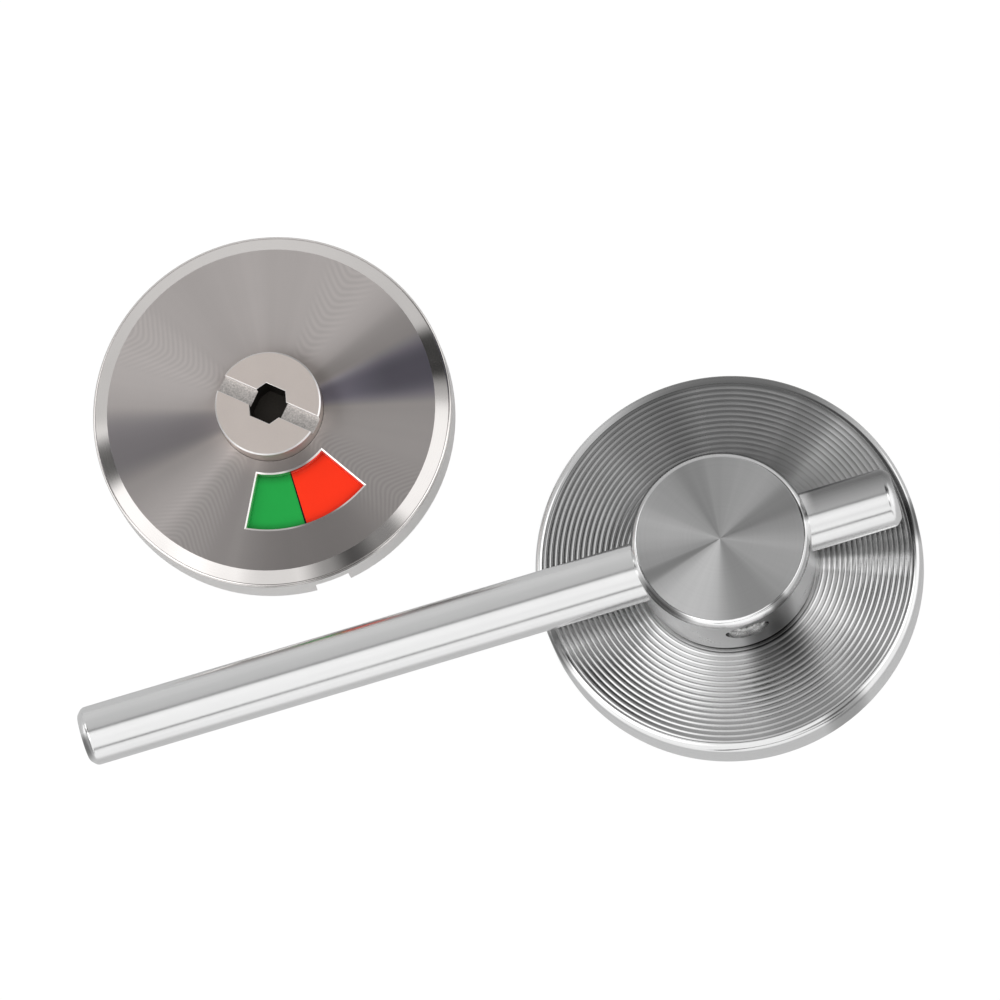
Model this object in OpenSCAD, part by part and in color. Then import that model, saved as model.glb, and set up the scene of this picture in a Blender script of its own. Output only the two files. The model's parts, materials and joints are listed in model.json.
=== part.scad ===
// Turn-and-release set for a door: a lever half and an indicator half, laid out
// side by side with both faces up. Millimetres, +Z out of the door face, origin
// on the lever axis at the door face.

/* [Layout] */
// Distance of the indicator axis to the left of the lever axis
indicator_left = 62; // [58:1:90]
// Distance of the indicator axis above the lever axis
indicator_up = 22.3; // [0:0.1:40]
// Direction of the lever's tail, in degrees from +X
lever_dir = 16.1; // [0:0.1:40]

/* [Lever rose] */
// Width of the lever rose outside the circle of its fixings
lever_rim = 7; // [6:0.1:10]
// Thickness of the lever rose, door face to grooved face
lever_rose_t = 6.5; // [6.2:0.1:9]
// Thickness of the lever rose's front wall
lever_front_t = 1.2; // [0.8:0.1:1.6]
// Width of the lever rose's rounded edge
lever_edge_w = 1.2; // [0.6:0.1:2]
// Height of the lever rose's rounded edge
lever_edge_h = 1.2; // [0.6:0.1:2]
// Distance from one turned groove to the next
groove_pitch = 0.73; // [0.5:0.01:1.2]
// Depth of a turned groove
groove_depth = 0.12; // [0.05:0.01:0.3]
// Plain ring between the hub's outline and the first groove
groove_margin = 0.3; // [0.1:0.1:2]

/* [Hub and bar] */
// Diameter of the hub
hub_d = 24; // [21:0.5:28]
// Width of the bevel round the hub's top
hub_bevel_w = 0.6; // [0.2:0.1:1]
// Height of the bevel round the hub's top
hub_bevel_h = 1.1; // [0.4:0.1:2]
// Diameter of the neck that turns in the bush
neck_d = 15; // [13:0.5:17]
// Diameter of the lever bar
bar_d = 8; // [6:0.5:10]
// Room between the rose's face and the bar
bar_room = 4.9; // [4.6:0.1:10]
// Solid left over the bar's bore, up to the hub's top
hub_cap = 1.1; // [0.8:0.1:4]
// Length of the handle, from the lever axis
bar_reach = 89; // [60:1:120]
// Length of the tail, from the lever axis
bar_tail = 24; // [16:1:30]
// Chamfer on the bar's ends
bar_chamfer = 0.9; // [0.3:0.1:1.5]
// Diameter of the grub screw that holds the bar
grub_d = 5.9; // [4:0.1:6.5]
// Depth of the grub screw's end below the hub's side
grub_sunk = 2; // [0.5:0.1:3]
// Width across the flats of the grub screw's socket
grub_hex_af = 3; // [2:0.5:3]
// Depth of the grub screw's socket
grub_hex_depth = 2.5; // [1.5:0.5:3]
// Thickness of the washer under the hub
thrust_washer_t = 0.7; // [0.4:0.1:1.2]
// How far the washer stays inside the hub's outline
thrust_washer_inset = 0.7; // [0.3:0.1:2]

/* [Spindle] */
// Width of the square spindle
spindle_w = 5; // [4:0.5:6]
// Length of the spindle behind the door face
spindle_out = 55; // [30:1:80]
// Solid left between the spindle's socket and the bar's bore
socket_roof = 2; // [1:0.1:3]
// Diameter of the pin through the neck and the spindle
spindle_pin_d = 1.5; // [1:0.1:1.6]

/* [Indicator rose] */
// Width of the indicator rose outside the circle of its fixings
indicator_rim = 5.5; // [4.9:0.1:8]
// Thickness of the indicator rose
indicator_rose_t = 6.5; // [6.2:0.1:7.5]
// Thickness of the indicator rose's front wall
indicator_front_t = 1; // [0.7:0.1:1.3]
// Width of the indicator rose's bevel
indicator_bevel_w = 1.7; // [0.8:0.1:2.4]
// Height of the indicator rose's bevel
indicator_bevel_h = 0.9; // [0.4:0.1:1.6]
// Radius between the bevel and the wall
indicator_round = 0.4; // [0.2:0.1:0.8]
// Inner radius of the window
window_in_r = 9.2; // [8.8:0.1:12]
// Width of the window from its inner to its outer arc
window_w = 7.4; // [4:0.1:8.5]
// Angle that the window spans
window_span = 60; // [30:1:70]
// Direction of the window's middle and of the pry notch
window_dir = -70.5; // [-120:0.5:-60]
// Width of the pry notch in the rim
notch_w = 4.8; // [3:0.1:7]
// Height of the pry notch
notch_h = 3.2; // [2:0.1:4]

/* [Release turn] */
// Diameter of the boss
boss_d = 14.4; // [13:0.1:15]
// Height of the boss above the rose's face
boss_h = 3.4; // [3:0.1:4.5]
// Bevel round the boss's top
boss_bevel = 0.25; // [0.1:0.05:0.6]
// Width of the coin slot
slot_w = 2.3; // [1.5:0.1:3]
// Depth of the coin slot
slot_depth = 1.4; // [1:0.1:2.8]
// Direction of the coin slot
slot_dir = -25; // [-90:1:90]
// Width across the flats of the hex hole
hex_af = 5; // [4:0.5:6]
// Depth of the hex hole from the boss's top
hex_depth = 4.5; // [3:0.1:5]
// Solid left between the hex hole and the spindle's socket
hex_roof = 1; // [0.6:0.1:2]
// How far the collar behind the rose stays inside the window's inner arc
collar_inset = 0.7; // [0.3:0.1:0.9]
// Diameter of the journal that turns in the bush
journal_d = 11; // [10:0.5:12]
// Height of the drive's flats above the journal
drive_flat_step = 0.3; // [0.2:0.1:0.5]
// Height of the drive's round sides above the journal
drive_round_step = 1; // [0.7:0.1:1.5]

/* [Indicator disc] */
// Thickness of the disc that carries the colours
disc_t = 0.8; // [0.5:0.1:1]
// Thickness of a colour plate
sector_t = 0.4; // [0.2:0.1:0.6]
// Turn of the lever and of the disc to each side of the middle
swing = 45; // [30:1:60]
// Angle that each colour reaches past the window when the disc is turned
colour_spare = 9; // [5:1:20]
// Angle from the window's middle to the line between the two colours
colour_lag = -2.5; // [-4:0.5:4]
// Width of the line between the two colours
colour_line = 0.14; // [0.1:0.02:0.3]
// How far the colours reach outside the window
colour_reach = 1.1; // [0.5:0.1:1.5]
// Bare edge of the disc outside the colours
disc_margin = 0.8; // [0.4:0.1:1]

/* [Fixings] */
// Circle through the two fixings of each half
fixing_pcd = 38; // [34:0.5:44]
// Diameter of a fixing bolt's thread
bolt_d = 4; // [3:0.5:4.5]
// Pitch of a fixing bolt's thread
bolt_pitch = 0.7; // [0.5:0.05:0.8]
// How far a fixing bolt's plain shank in the plate stands out beyond the thread
bolt_shank_step = 0.25; // [0.1:0.05:0.4]
// Diameter of a fixing bolt's countersunk head
bolt_head_d = 7.5; // [6.5:0.1:8]
// Length of a fixing bolt behind the door face
bolt_out = 30; // [20:1:60]
// Width across the flats of a fixing bolt's socket
bolt_hex_af = 2.5; // [2:0.5:3]
// Depth of a fixing bolt's socket
bolt_hex_depth = 1.4; // [1:0.1:2]
// Length of a fixing bolt's plain shank behind the door face
bolt_plain_out = 0.4; // [0.3:0.1:3]
// Diameter of a threaded pillar
pillar_d = 5.5; // [5:0.1:6]
// Diameter of a threaded pillar's head
pillar_head_d = 6.4; // [6.2:0.1:6.6]
// Height of a threaded pillar's head
pillar_head_h = 0.8; // [0.5:0.1:1.2]
// Length of a threaded pillar behind the door face
pillar_out = 14; // [8:1:20]
// Solid left between the tapped hole and the pillar's head end
pillar_roof = 1.2; // [0.8:0.1:2]

/* [Plates, bushes and rings] */
// Thickness of both roses' side walls
rose_wall = 1.5; // [1.2:0.1:1.6]
// Wall of a bush
bush_wall = 2; // [1:0.1:2.5]
// Width of a bush's flange beyond its wall
bush_flange_w = 1.5; // [0.8:0.1:1.6]
// Thickness of a bush's flange
bush_flange_t = 0.5; // [0.3:0.1:0.7]
// Width of a back washer
back_washer_w = 3; // [2:0.1:3.4]
// Thickness of a back washer
back_washer_t = 0.4; // [0.3:0.1:0.5]
// Height of a conical spring
spring_h = 0.5; // [0.4:0.05:0.6]
// Thickness of a conical spring's sheet
spring_t = 0.25; // [0.15:0.05:0.3]
// Thickness of a circlip
circlip_t = 0.6; // [0.4:0.1:0.7]
// Width of a circlip outside its shaft
circlip_w = 1.6; // [1.2:0.1:2]
// Depth of a circlip's groove in its shaft
circlip_bite = 0.6; // [0.4:0.1:0.7]
// Angle that a circlip leaves open
circlip_open = 50; // [30:1:70]
// Diameter of the plier hole in a circlip's lug
circlip_hole_d = 0.9; // [0.6:0.1:1]
// Height of the shaft's end below its circlip
shaft_lip = 0.45; // [0.3:0.05:0.5]
// Room round a back washer in its plate's recess
recess_room = 1.2; // [0.6:0.1:1.6]
// Width of a rose clip's wire
clip_w = 0.9; // [0.7:0.1:1]
// Height of a rose clip's wire
clip_t = 0.8; // [0.5:0.1:1]
// Depth of a rose clip in the rose's wall
clip_bite = 0.3; // [0.2:0.05:0.5]
// Height of a rose clip above the door face
clip_z = 1.2; // [0.8:0.1:1.4]
// Angle that a rose clip leaves open
clip_open = 30; // [20:1:60]
// Direction of the opening of the lever half's rose clip
lever_clip_dir = 90; // [0:5:355]

/* [Clearances] */
// Radial clearance of a shaft that turns in a bush
run_gap = 0.05; // [0.02:0.01:0.09]
// Clearance of pieces that are fixed to each other
fit_gap = 0.03; // [0.02:0.01:0.06]
// Axial play of the turning pieces
play = 0.1; // [0.05:0.05:0.15]
// Clearance round the square spindle in its socket
spindle_gap = 0.05; // [0.03:0.01:0.1]
// Clearance between the colours and the rose's front wall
sight_gap = 0.25; // [0.2:0.05:0.3]
// Clearance of the shafts' ends above the door face
door_gap = 0.15; // [0.1:0.05:0.2]
// Clearance of the neck in the rose's hole and of washers on their shafts
loose_gap = 0.3; // [0.2:0.05:0.4]

/* [Hidden] */
$fn = 96;
// Overshoot of a cutting solid past the face that it cuts
cut = 1;
// Flats that make up a quarter round on a turned edge
round_steps = 6;

// Radii that several pieces share
lever_rose_r = fixing_pcd / 2 + lever_rim;
lever_inner_r = lever_rose_r - rose_wall;
hub_r = hub_d / 2;
neck_r = neck_d / 2;
bar_r = bar_d / 2;
indicator_rose_r = fixing_pcd / 2 + indicator_rim;
indicator_inner_r = indicator_rose_r - rose_wall;
indicator_face_r = indicator_rose_r - indicator_round - indicator_bevel_w;
boss_r = boss_d / 2;
journal_r = journal_d / 2;
window_out_r = window_in_r + window_w;
collar_r = window_in_r - collar_inset;
colour_out_r = window_out_r + colour_reach;
disc_r = colour_out_r + disc_margin;

// Sizes of the fixings, from the bolt's thread
bolt_shank_d = bolt_d + 2 * bolt_shank_step;
bolt_cone_h = (bolt_head_d - bolt_shank_d) / 2;
pillar_tap_d = bolt_d - bolt_pitch;

// Angles of the colours on the disc, from the window's place and the turn
colour_dir = window_dir + colour_lag;
colour_span = swing + window_span / 2 + colour_spare;
half_line = asin(colour_line / 2 / window_in_r);

// Heights behind a plate, from the door face up: shaft end, circlip, spring, washer
circlip_z = door_gap + shaft_lip;
spring_z = circlip_z + circlip_t;
washer_z = spring_z + spring_h;
recess_h = washer_z + back_washer_t + play;

// Heights of the lever half
lever_under_z = lever_rose_t - lever_front_t;
lever_base_t = lever_under_z - play - bush_flange_t;
hub_foot_z = lever_rose_t + thrust_washer_t + play;
bar_z = lever_rose_t + bar_room + bar_r;
hub_top_z = bar_z + bar_r + hub_cap;
lever_socket_top = bar_z - bar_r - socket_roof;
spindle_pin_z = (recess_h + lever_base_t) / 2;

// Heights of the indicator half
indicator_under_z = indicator_rose_t - indicator_front_t;
colour_top_z = indicator_under_z - sight_gap;
disc_top_z = colour_top_z - sector_t;
disc_z = disc_top_z - disc_t;
indicator_base_t = disc_z - play - bush_flange_t;
boss_top_z = indicator_rose_t + boss_h;
release_socket_top = boss_top_z - hex_depth - hex_roof;
// Half length of the hex hole along the slot
hex_reach = hex_af / 2 / cos(30) - slot_w / 2 / tan(60);

// Points of a quarter round from the top of a wall out to its side
function quarter_round(r, z, w, h) = [
    for (i = [0:round_steps])
        [r - w + w * sin(90 * i / round_steps), z - h + h * cos(90 * i / round_steps)]
];

// Points of the turned grooves across a face, from the inner radius outwards
function groove_points(r_in, r_out, z, pitch, depth) =
    let (count = floor((r_out - r_in) / pitch))
    [for (i = [0:count - 1]) each [[r_in + i * pitch, z], [r_in + (i + 0.5) * pitch, z - depth]]];

// Points of the inside of a rose: its wall with the clip's groove, and the underside of its front
function rose_inside(r, under_z, hole_r) = [
    [r, 0],
    [r, clip_z - fit_gap],
    [r + clip_bite + fit_gap, clip_z - fit_gap],
    [r + clip_bite + fit_gap, clip_z + clip_t + fit_gap],
    [r, clip_z + clip_t + fit_gap],
    [r, under_z],
    [hole_r, under_z]
];

// Radius of the wall of the bush on a shaft, and of the recess behind it
function bush_wall_r(shaft_r) = shaft_r + run_gap + bush_wall;
function recess_r(shaft_r) = shaft_r + back_washer_w + recess_room;

// Wedge about the Z axis from one angle to another, for cuts and sectors
module wedge(from_angle, to_angle, r, z, h) {
    far = r / cos((to_angle - from_angle) / 4);
    middle = (from_angle + to_angle) / 2;
    translate([0, 0, z])
        linear_extrude(height = h)
            polygon([[0, 0], for (a = [from_angle, middle, to_angle]) far * [cos(a), sin(a)]]);
}

// Flat ring about the Z axis
module ring(r_in, r_out, z, h) {
    translate([0, 0, z])
        difference() {
            cylinder(r = r_out, h = h);
            translate([0, 0, -cut]) cylinder(r = r_in, h = h + 2 * cut);
        }
}

// Hexagon prism with its corners on the X axis, from z upwards
module hex_hole(af, z, h) {
    translate([0, 0, z]) cylinder(r = af / 2 / cos(30), h = h, $fn = 6);
}

// The places of the two fixings of one half
module at_fixings() {
    for (side = [-1, 1]) translate([side * fixing_pcd / 2, 0, 0]) children();
}

// The place of the indicator half
module at_indicator() {
    translate([-indicator_left, indicator_up, 0]) children();
}

// Plate inside a rose: recess at its back, bore for its bush, groove for its clip
module base_plate(rose_inner_r, t, shaft_r) {
    r = rose_inner_r - fit_gap;
    groove_r = r + clip_bite - clip_w;
    bore_r = bush_wall_r(shaft_r) + fit_gap;
    rotate_extrude()
        polygon([
            [recess_r(shaft_r), 0], [r, 0],
            [r, clip_z - fit_gap], [groove_r, clip_z - fit_gap],
            [groove_r, clip_z + clip_t + fit_gap], [r, clip_z + clip_t + fit_gap],
            [r, t], [bore_r, t], [bore_r, recess_h], [recess_r(shaft_r), recess_h]
        ]);
}

// Flanged bush in a plate of thickness t
module bush(shaft_r, t) {
    wall_r = bush_wall_r(shaft_r);
    rotate_extrude()
        polygon([
            [shaft_r + run_gap, recess_h], [wall_r, recess_h], [wall_r, t],
            [wall_r + bush_flange_w, t], [wall_r + bush_flange_w, t + bush_flange_t],
            [shaft_r + run_gap, t + bush_flange_t]
        ]);
}

// Split ring that holds a rose whose inner wall has radius r, open at one angle
module rose_clip(r, open_dir) {
    difference() {
        ring(r + clip_bite - clip_w, r + clip_bite, clip_z, clip_t);
        wedge(
            open_dir - clip_open / 2, open_dir + clip_open / 2,
            r + clip_w, clip_z - cut, clip_t + 2 * cut);
    }
}

// Washer behind a bush
module back_washer(shaft_r) {
    ring(shaft_r + loose_gap, shaft_r + back_washer_w, washer_z, back_washer_t);
}

// Conical spring between a circlip and a back washer
module disc_spring(shaft_r) {
    in_r = shaft_r + loose_gap;
    out_r = shaft_r + back_washer_w;
    rotate_extrude()
        polygon([
            [in_r, spring_z], [in_r, spring_z + spring_t],
            [out_r, spring_z + spring_h], [out_r, spring_z + spring_h - spring_t]
        ]);
}

// Circlip with two lugs in the groove of a shaft
module circlip(shaft_r) {
    in_r = shaft_r - circlip_bite + fit_gap;
    out_r = shaft_r + circlip_w;
    lug_r = circlip_w / 2;
    difference() {
        union() {
            difference() {
                ring(in_r, out_r, circlip_z, circlip_t);
                wedge(
                    -circlip_open / 2, circlip_open / 2,
                    out_r + cut, circlip_z - cut, circlip_t + 2 * cut);
            }
            for (side = [-1, 1])
                rotate([0, 0, side * circlip_open / 2])
                    translate([shaft_r + lug_r, 0, circlip_z]) cylinder(r = lug_r, h = circlip_t);
        }
        for (side = [-1, 1])
            rotate([0, 0, side * circlip_open / 2])
                translate([shaft_r + lug_r, 0, circlip_z - cut])
                    cylinder(d = circlip_hole_d, h = circlip_t + 2 * cut);
    }
}

// Groove for a circlip, to be cut from a shaft
module circlip_groove(shaft_r) {
    ring(shaft_r - circlip_bite, shaft_r + cut, circlip_z - fit_gap, circlip_t + 2 * fit_gap);
}

// Square hole for the spindle from the door face up to a height
module spindle_socket(top_z) {
    w = spindle_w + 2 * spindle_gap;
    translate([-w / 2, -w / 2, -cut]) cube([w, w, top_z + cut]);
}

// Round lever rose with turned grooves on its face and a rounded edge
module lever_rose() {
    face_r = lever_rose_r - lever_edge_w;
    hole_r = neck_r + loose_gap;
    color("lightgray")
        rotate_extrude()
            polygon([
                [hole_r, lever_rose_t],
                each groove_points(hub_r + groove_margin, face_r, lever_rose_t, groove_pitch, groove_depth),
                each quarter_round(lever_rose_r, lever_rose_t, lever_edge_w, lever_edge_h),
                [lever_rose_r, 0],
                each rose_inside(lever_inner_r, lever_under_z, hole_r)
            ]);
}

// Plate of the lever half, with countersunk holes for the bolts
module lever_base_plate() {
    hole_d = bolt_shank_d + 2 * fit_gap;
    color("darkgray")
        difference() {
            base_plate(lever_inner_r, lever_base_t, neck_r);
            at_fixings() {
                translate([0, 0, -cut]) cylinder(d = hole_d, h = lever_base_t + 2 * cut);
                translate([0, 0, lever_base_t - bolt_cone_h])
                    cylinder(d1 = hole_d, d2 = hole_d + 2 * bolt_cone_h, h = bolt_cone_h);
            }
        }
}

module lever_rose_clip() {
    color("gray") rose_clip(lever_inner_r, lever_clip_dir);
}

module lever_bush() {
    color("goldenrod") bush(neck_r, lever_base_t);
}

// Two countersunk bolts that go through the door
module fixing_bolts() {
    color("silver")
        at_fixings()
            difference() {
                rotate_extrude()
                    polygon([
                        [0, lever_base_t], [bolt_head_d / 2, lever_base_t],
                        [bolt_shank_d / 2, lever_base_t - bolt_cone_h],
                        [bolt_shank_d / 2, -bolt_plain_out], [bolt_d / 2, -bolt_plain_out],
                        [bolt_d / 2, -bolt_out], [0, -bolt_out]
                    ]);
                hex_hole(bolt_hex_af, lever_base_t - bolt_hex_depth, bolt_hex_depth + cut);
            }
}

// Hub with its bevelled top, the neck that turns in the bush, and the bores for bar and screws
module lever_hub() {
    color("silver")
        difference() {
            rotate_extrude()
                polygon([
                    [0, hub_top_z], [hub_r - hub_bevel_w, hub_top_z], [hub_r, hub_top_z - hub_bevel_h],
                    [hub_r, hub_foot_z], [neck_r, hub_foot_z], [neck_r, door_gap], [0, door_gap]
                ]);
            rotate([0, 0, lever_dir])
                translate([-hub_r - cut, 0, bar_z])
                    rotate([0, 90, 0]) cylinder(r = bar_r + fit_gap, h = hub_d + 2 * cut);
            rotate([0, 0, lever_dir - 90])
                translate([0, 0, bar_z])
                    rotate([0, 90, 0]) cylinder(d = grub_d + 2 * fit_gap, h = hub_r + cut);
            spindle_socket(lever_socket_top);
            translate([-neck_r - cut, 0, spindle_pin_z])
                rotate([0, 90, 0]) cylinder(d = spindle_pin_d + 2 * fit_gap, h = neck_d + 2 * cut);
            circlip_groove(neck_r);
        }
}

// Round bar that is the handle, with its tail on the other side of the hub
module lever_bar() {
    color("silver")
        rotate([0, 0, lever_dir])
            translate([0, 0, bar_z])
                rotate([0, 90, 0])
                    rotate_extrude()
                        polygon([
                            [0, -bar_reach], [bar_r - bar_chamfer, -bar_reach],
                            [bar_r, bar_chamfer - bar_reach], [bar_r, bar_tail - bar_chamfer],
                            [bar_r - bar_chamfer, bar_tail], [0, bar_tail]
                        ]);
}

// Screw in the side of the hub that presses on the bar
module lever_grub_screw() {
    tip = bar_r + fit_gap;
    end = hub_r - grub_sunk;
    color("dimgray")
        rotate([0, 0, lever_dir - 90])
            translate([0, 0, bar_z])
                rotate([0, 90, 0])
                    difference() {
                        translate([0, 0, tip]) cylinder(d = grub_d, h = end - tip);
                        hex_hole(grub_hex_af, end - grub_hex_depth, grub_hex_depth + cut);
                    }
}

// Dark washer in the gap between the hub and the rose
module lever_thrust_washer() {
    color("black")
        ring(neck_r + loose_gap, hub_r - thrust_washer_inset, lever_rose_t + play / 2, thrust_washer_t);
}

module lever_back_washer() {
    color("lightgray") back_washer(neck_r);
}

module lever_disc_spring() {
    color("gray") disc_spring(neck_r);
}

module lever_circlip() {
    color("dimgray") circlip(neck_r);
}

// Square bar that goes through the door
module spindle() {
    top_z = lever_socket_top - spindle_gap;
    color("silver")
        difference() {
            translate([-spindle_w / 2, -spindle_w / 2, -spindle_out])
                cube([spindle_w, spindle_w, spindle_out + top_z]);
            translate([-spindle_w, 0, spindle_pin_z])
                rotate([0, 90, 0]) cylinder(d = spindle_pin_d + 2 * fit_gap, h = 2 * spindle_w);
        }
}

// Pin that the bush keeps in the neck
module spindle_pin() {
    length = neck_d - 2 * loose_gap;
    color("gray")
        translate([-length / 2, 0, spindle_pin_z])
            rotate([0, 90, 0]) cylinder(d = spindle_pin_d, h = length);
}

// Round indicator rose with its bevel, window and pry notch
module indicator_rose() {
    hole_r = boss_r + run_gap;
    window_h = indicator_front_t + 2 * cut;
    color("lightgray")
        at_indicator()
            difference() {
                rotate_extrude()
                    polygon([
                        [hole_r, indicator_rose_t],
                        [indicator_face_r, indicator_rose_t],
                        each quarter_round(
                            indicator_rose_r, indicator_rose_t - indicator_bevel_h,
                            indicator_round, indicator_round),
                        [indicator_rose_r, 0],
                        each rose_inside(indicator_inner_r, indicator_under_z, hole_r)
                    ]);
                intersection() {
                    ring(window_in_r, window_out_r, indicator_under_z - cut, window_h);
                    wedge(
                        window_dir - window_span / 2, window_dir + window_span / 2,
                        indicator_rose_r, indicator_under_z - cut, window_h);
                }
                rotate([0, 0, window_dir])
                    translate([indicator_inner_r - cut, -notch_w / 2, -cut])
                        cube([rose_wall + 2 * cut, notch_w, notch_h + cut]);
            }
}

// Plate of the indicator half, with holes for the pillars
module indicator_base_plate() {
    color("darkgray")
        at_indicator()
            difference() {
                base_plate(indicator_inner_r, indicator_base_t, journal_r);
                at_fixings() {
                    translate([0, 0, -cut])
                        cylinder(d = pillar_d + 2 * fit_gap, h = indicator_base_t + 2 * cut);
                    translate([0, 0, indicator_base_t - pillar_head_h])
                        cylinder(d = pillar_head_d + 2 * fit_gap, h = pillar_head_h + cut);
                }
            }
}

module indicator_rose_clip() {
    color("gray") at_indicator() rose_clip(indicator_inner_r, window_dir);
}

module indicator_bush() {
    color("goldenrod") at_indicator() bush(journal_r, indicator_base_t);
}

// Two tapped posts that take the through bolts
module threaded_pillars() {
    color("silver")
        at_indicator()
            at_fixings()
                difference() {
                    union() {
                        translate([0, 0, -pillar_out])
                            cylinder(d = pillar_d, h = pillar_out + indicator_base_t - fit_gap);
                        translate([0, 0, indicator_base_t - pillar_head_h + fit_gap])
                            cylinder(d = pillar_head_d, h = pillar_head_h - 2 * fit_gap);
                    }
                    translate([0, 0, -pillar_out - cut])
                        cylinder(d = pillar_tap_d, h = pillar_out + cut + indicator_base_t - pillar_roof);
                }
}

// Two-flat section that turns the disc, wider by a gap where it is cut from the disc
module drive(gap, z, h) {
    round_r = journal_r + drive_round_step + gap;
    flat_w = journal_d + 2 * drive_flat_step + 2 * gap;
    translate([0, 0, z])
        intersection() {
            cylinder(r = round_r, h = h);
            translate([-2 * round_r, -flat_w / 2, 0]) cube([4 * round_r, flat_w, h]);
        }
}

// Boss with coin slot and hex hole, its collar, the drive for the disc and the journal
module release_turn() {
    color("gainsboro")
        at_indicator()
            difference() {
                union() {
                    rotate_extrude()
                        polygon([
                            [0, disc_top_z], [collar_r, disc_top_z], [collar_r, colour_top_z],
                            [boss_r, colour_top_z], [boss_r, boss_top_z - boss_bevel],
                            [boss_r - boss_bevel, boss_top_z], [0, boss_top_z]
                        ]);
                    rotate([0, 0, slot_dir]) drive(0, disc_z, disc_t);
                    translate([0, 0, door_gap]) cylinder(r = journal_r, h = disc_z - door_gap);
                }
                rotate([0, 0, slot_dir]) {
                    translate([-boss_d, -slot_w / 2, boss_top_z - slot_depth])
                        cube([2 * boss_d, slot_w, slot_depth + cut]);
                    // The two corners in the slot are squared off where its walls meet the hexagon
                    intersection() {
                        hex_hole(hex_af, boss_top_z - hex_depth, hex_depth + cut);
                        translate([-hex_reach, -boss_d, 0])
                            cube([2 * hex_reach, 2 * boss_d, boss_top_z + 2 * cut]);
                    }
                }
                spindle_socket(release_socket_top);
                circlip_groove(journal_r);
            }
}

// Disc that carries the colour plates and turns with the release turn
module indicator_disc() {
    color("whitesmoke")
        at_indicator()
            difference() {
                translate([0, 0, disc_z]) cylinder(r = disc_r, h = disc_t);
                rotate([0, 0, slot_dir]) drive(fit_gap, disc_z - cut, disc_t + 2 * cut);
            }
}

// One colour plate on the disc, from one angle to another
module colour_plate(from_angle, to_angle) {
    at_indicator()
        intersection() {
            ring(collar_r + fit_gap, colour_out_r, disc_top_z, sector_t);
            wedge(from_angle, to_angle, colour_out_r + cut, disc_top_z - cut, sector_t + 2 * cut);
        }
}

module green_sector() {
    color("green") colour_plate(colour_dir - colour_span, colour_dir - half_line);
}

module red_sector() {
    color("red") colour_plate(colour_dir + half_line, colour_dir + colour_span);
}

module indicator_back_washer() {
    color("lightgray") at_indicator() back_washer(journal_r);
}

module indicator_disc_spring() {
    color("gray") at_indicator() disc_spring(journal_r);
}

module indicator_circlip() {
    color("dimgray") at_indicator() circlip(journal_r);
}

lever_rose();
lever_base_plate();
lever_rose_clip();
lever_bush();
fixing_bolts();
lever_hub();
lever_bar();
lever_grub_screw();
lever_thrust_washer();
lever_back_washer();
lever_disc_spring();
lever_circlip();
spindle();
spindle_pin();
indicator_rose();
indicator_base_plate();
indicator_rose_clip();
indicator_bush();
threaded_pillars();
release_turn();
indicator_disc();
green_sector();
red_sector();
indicator_back_washer();
indicator_disc_spring();
indicator_circlip();
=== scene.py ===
"""Turn-and-release set for a door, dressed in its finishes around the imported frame.

The lever half and the indicator half lie side by side with their faces up. Sizes are in
millimetres and angles in degrees; meshes are written in metres.
"""

import json
import logging
import math
from collections.abc import Callable, Iterable, Sequence
from dataclasses import dataclass, replace
from enum import Enum
from functools import cache

import bmesh
import bpy
from bmesh.types import BMEdge, BMesh, BMFace
from mathutils import Matrix, Vector


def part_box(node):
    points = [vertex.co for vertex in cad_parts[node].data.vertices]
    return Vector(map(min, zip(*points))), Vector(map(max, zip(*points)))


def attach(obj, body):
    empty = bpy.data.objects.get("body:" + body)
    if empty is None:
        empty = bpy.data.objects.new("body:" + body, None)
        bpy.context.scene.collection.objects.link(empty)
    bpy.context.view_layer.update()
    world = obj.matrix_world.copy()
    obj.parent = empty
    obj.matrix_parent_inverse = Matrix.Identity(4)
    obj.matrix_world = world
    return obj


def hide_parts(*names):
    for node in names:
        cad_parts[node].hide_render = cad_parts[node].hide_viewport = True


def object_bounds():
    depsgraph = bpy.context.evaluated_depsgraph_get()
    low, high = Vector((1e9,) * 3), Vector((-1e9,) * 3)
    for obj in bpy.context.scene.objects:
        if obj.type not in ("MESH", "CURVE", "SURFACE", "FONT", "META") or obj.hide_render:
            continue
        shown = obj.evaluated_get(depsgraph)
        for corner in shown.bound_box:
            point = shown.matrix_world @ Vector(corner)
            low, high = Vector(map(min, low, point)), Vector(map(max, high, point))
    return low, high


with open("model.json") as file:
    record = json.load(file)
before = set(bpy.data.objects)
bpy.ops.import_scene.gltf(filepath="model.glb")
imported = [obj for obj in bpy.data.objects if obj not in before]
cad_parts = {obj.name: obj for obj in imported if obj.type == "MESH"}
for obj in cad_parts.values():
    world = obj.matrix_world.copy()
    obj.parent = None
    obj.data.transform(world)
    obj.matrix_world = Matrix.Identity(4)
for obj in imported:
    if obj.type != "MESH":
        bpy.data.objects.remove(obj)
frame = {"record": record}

LOG = logging.getLogger("door_set")
CAD_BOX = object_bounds()
RECORD = frame["record"]
BODY_OF = {node: body for body, nodes in RECORD["behaviour"]["bodies"].items() for node in nodes}

# A millimetre, and the distance below which points are one, in metres.
MM = 0.001
WELD = 1e-6
# How far a cutting tool reaches past a solid, and a thickness that doesn't count, in millimetres.
OVER = 1.0
SKIN = 0.01
# Least upward part of the normal of a slope, of a level face and of a quite flat one.
SLOPE = 0.2
LEVEL = 0.9
FLAT = 0.98
# Least angle of a corner between two faces, in radians.
CORNER = 1.0
# A whole turn in degrees, and half of the angle that a hexagon's side takes, in radians.
FULL_TURN = 360.0
HALF_SIDE = math.radians(30)
# Steps round the pin and its hole.
PIN_STEPS = 32
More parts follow.
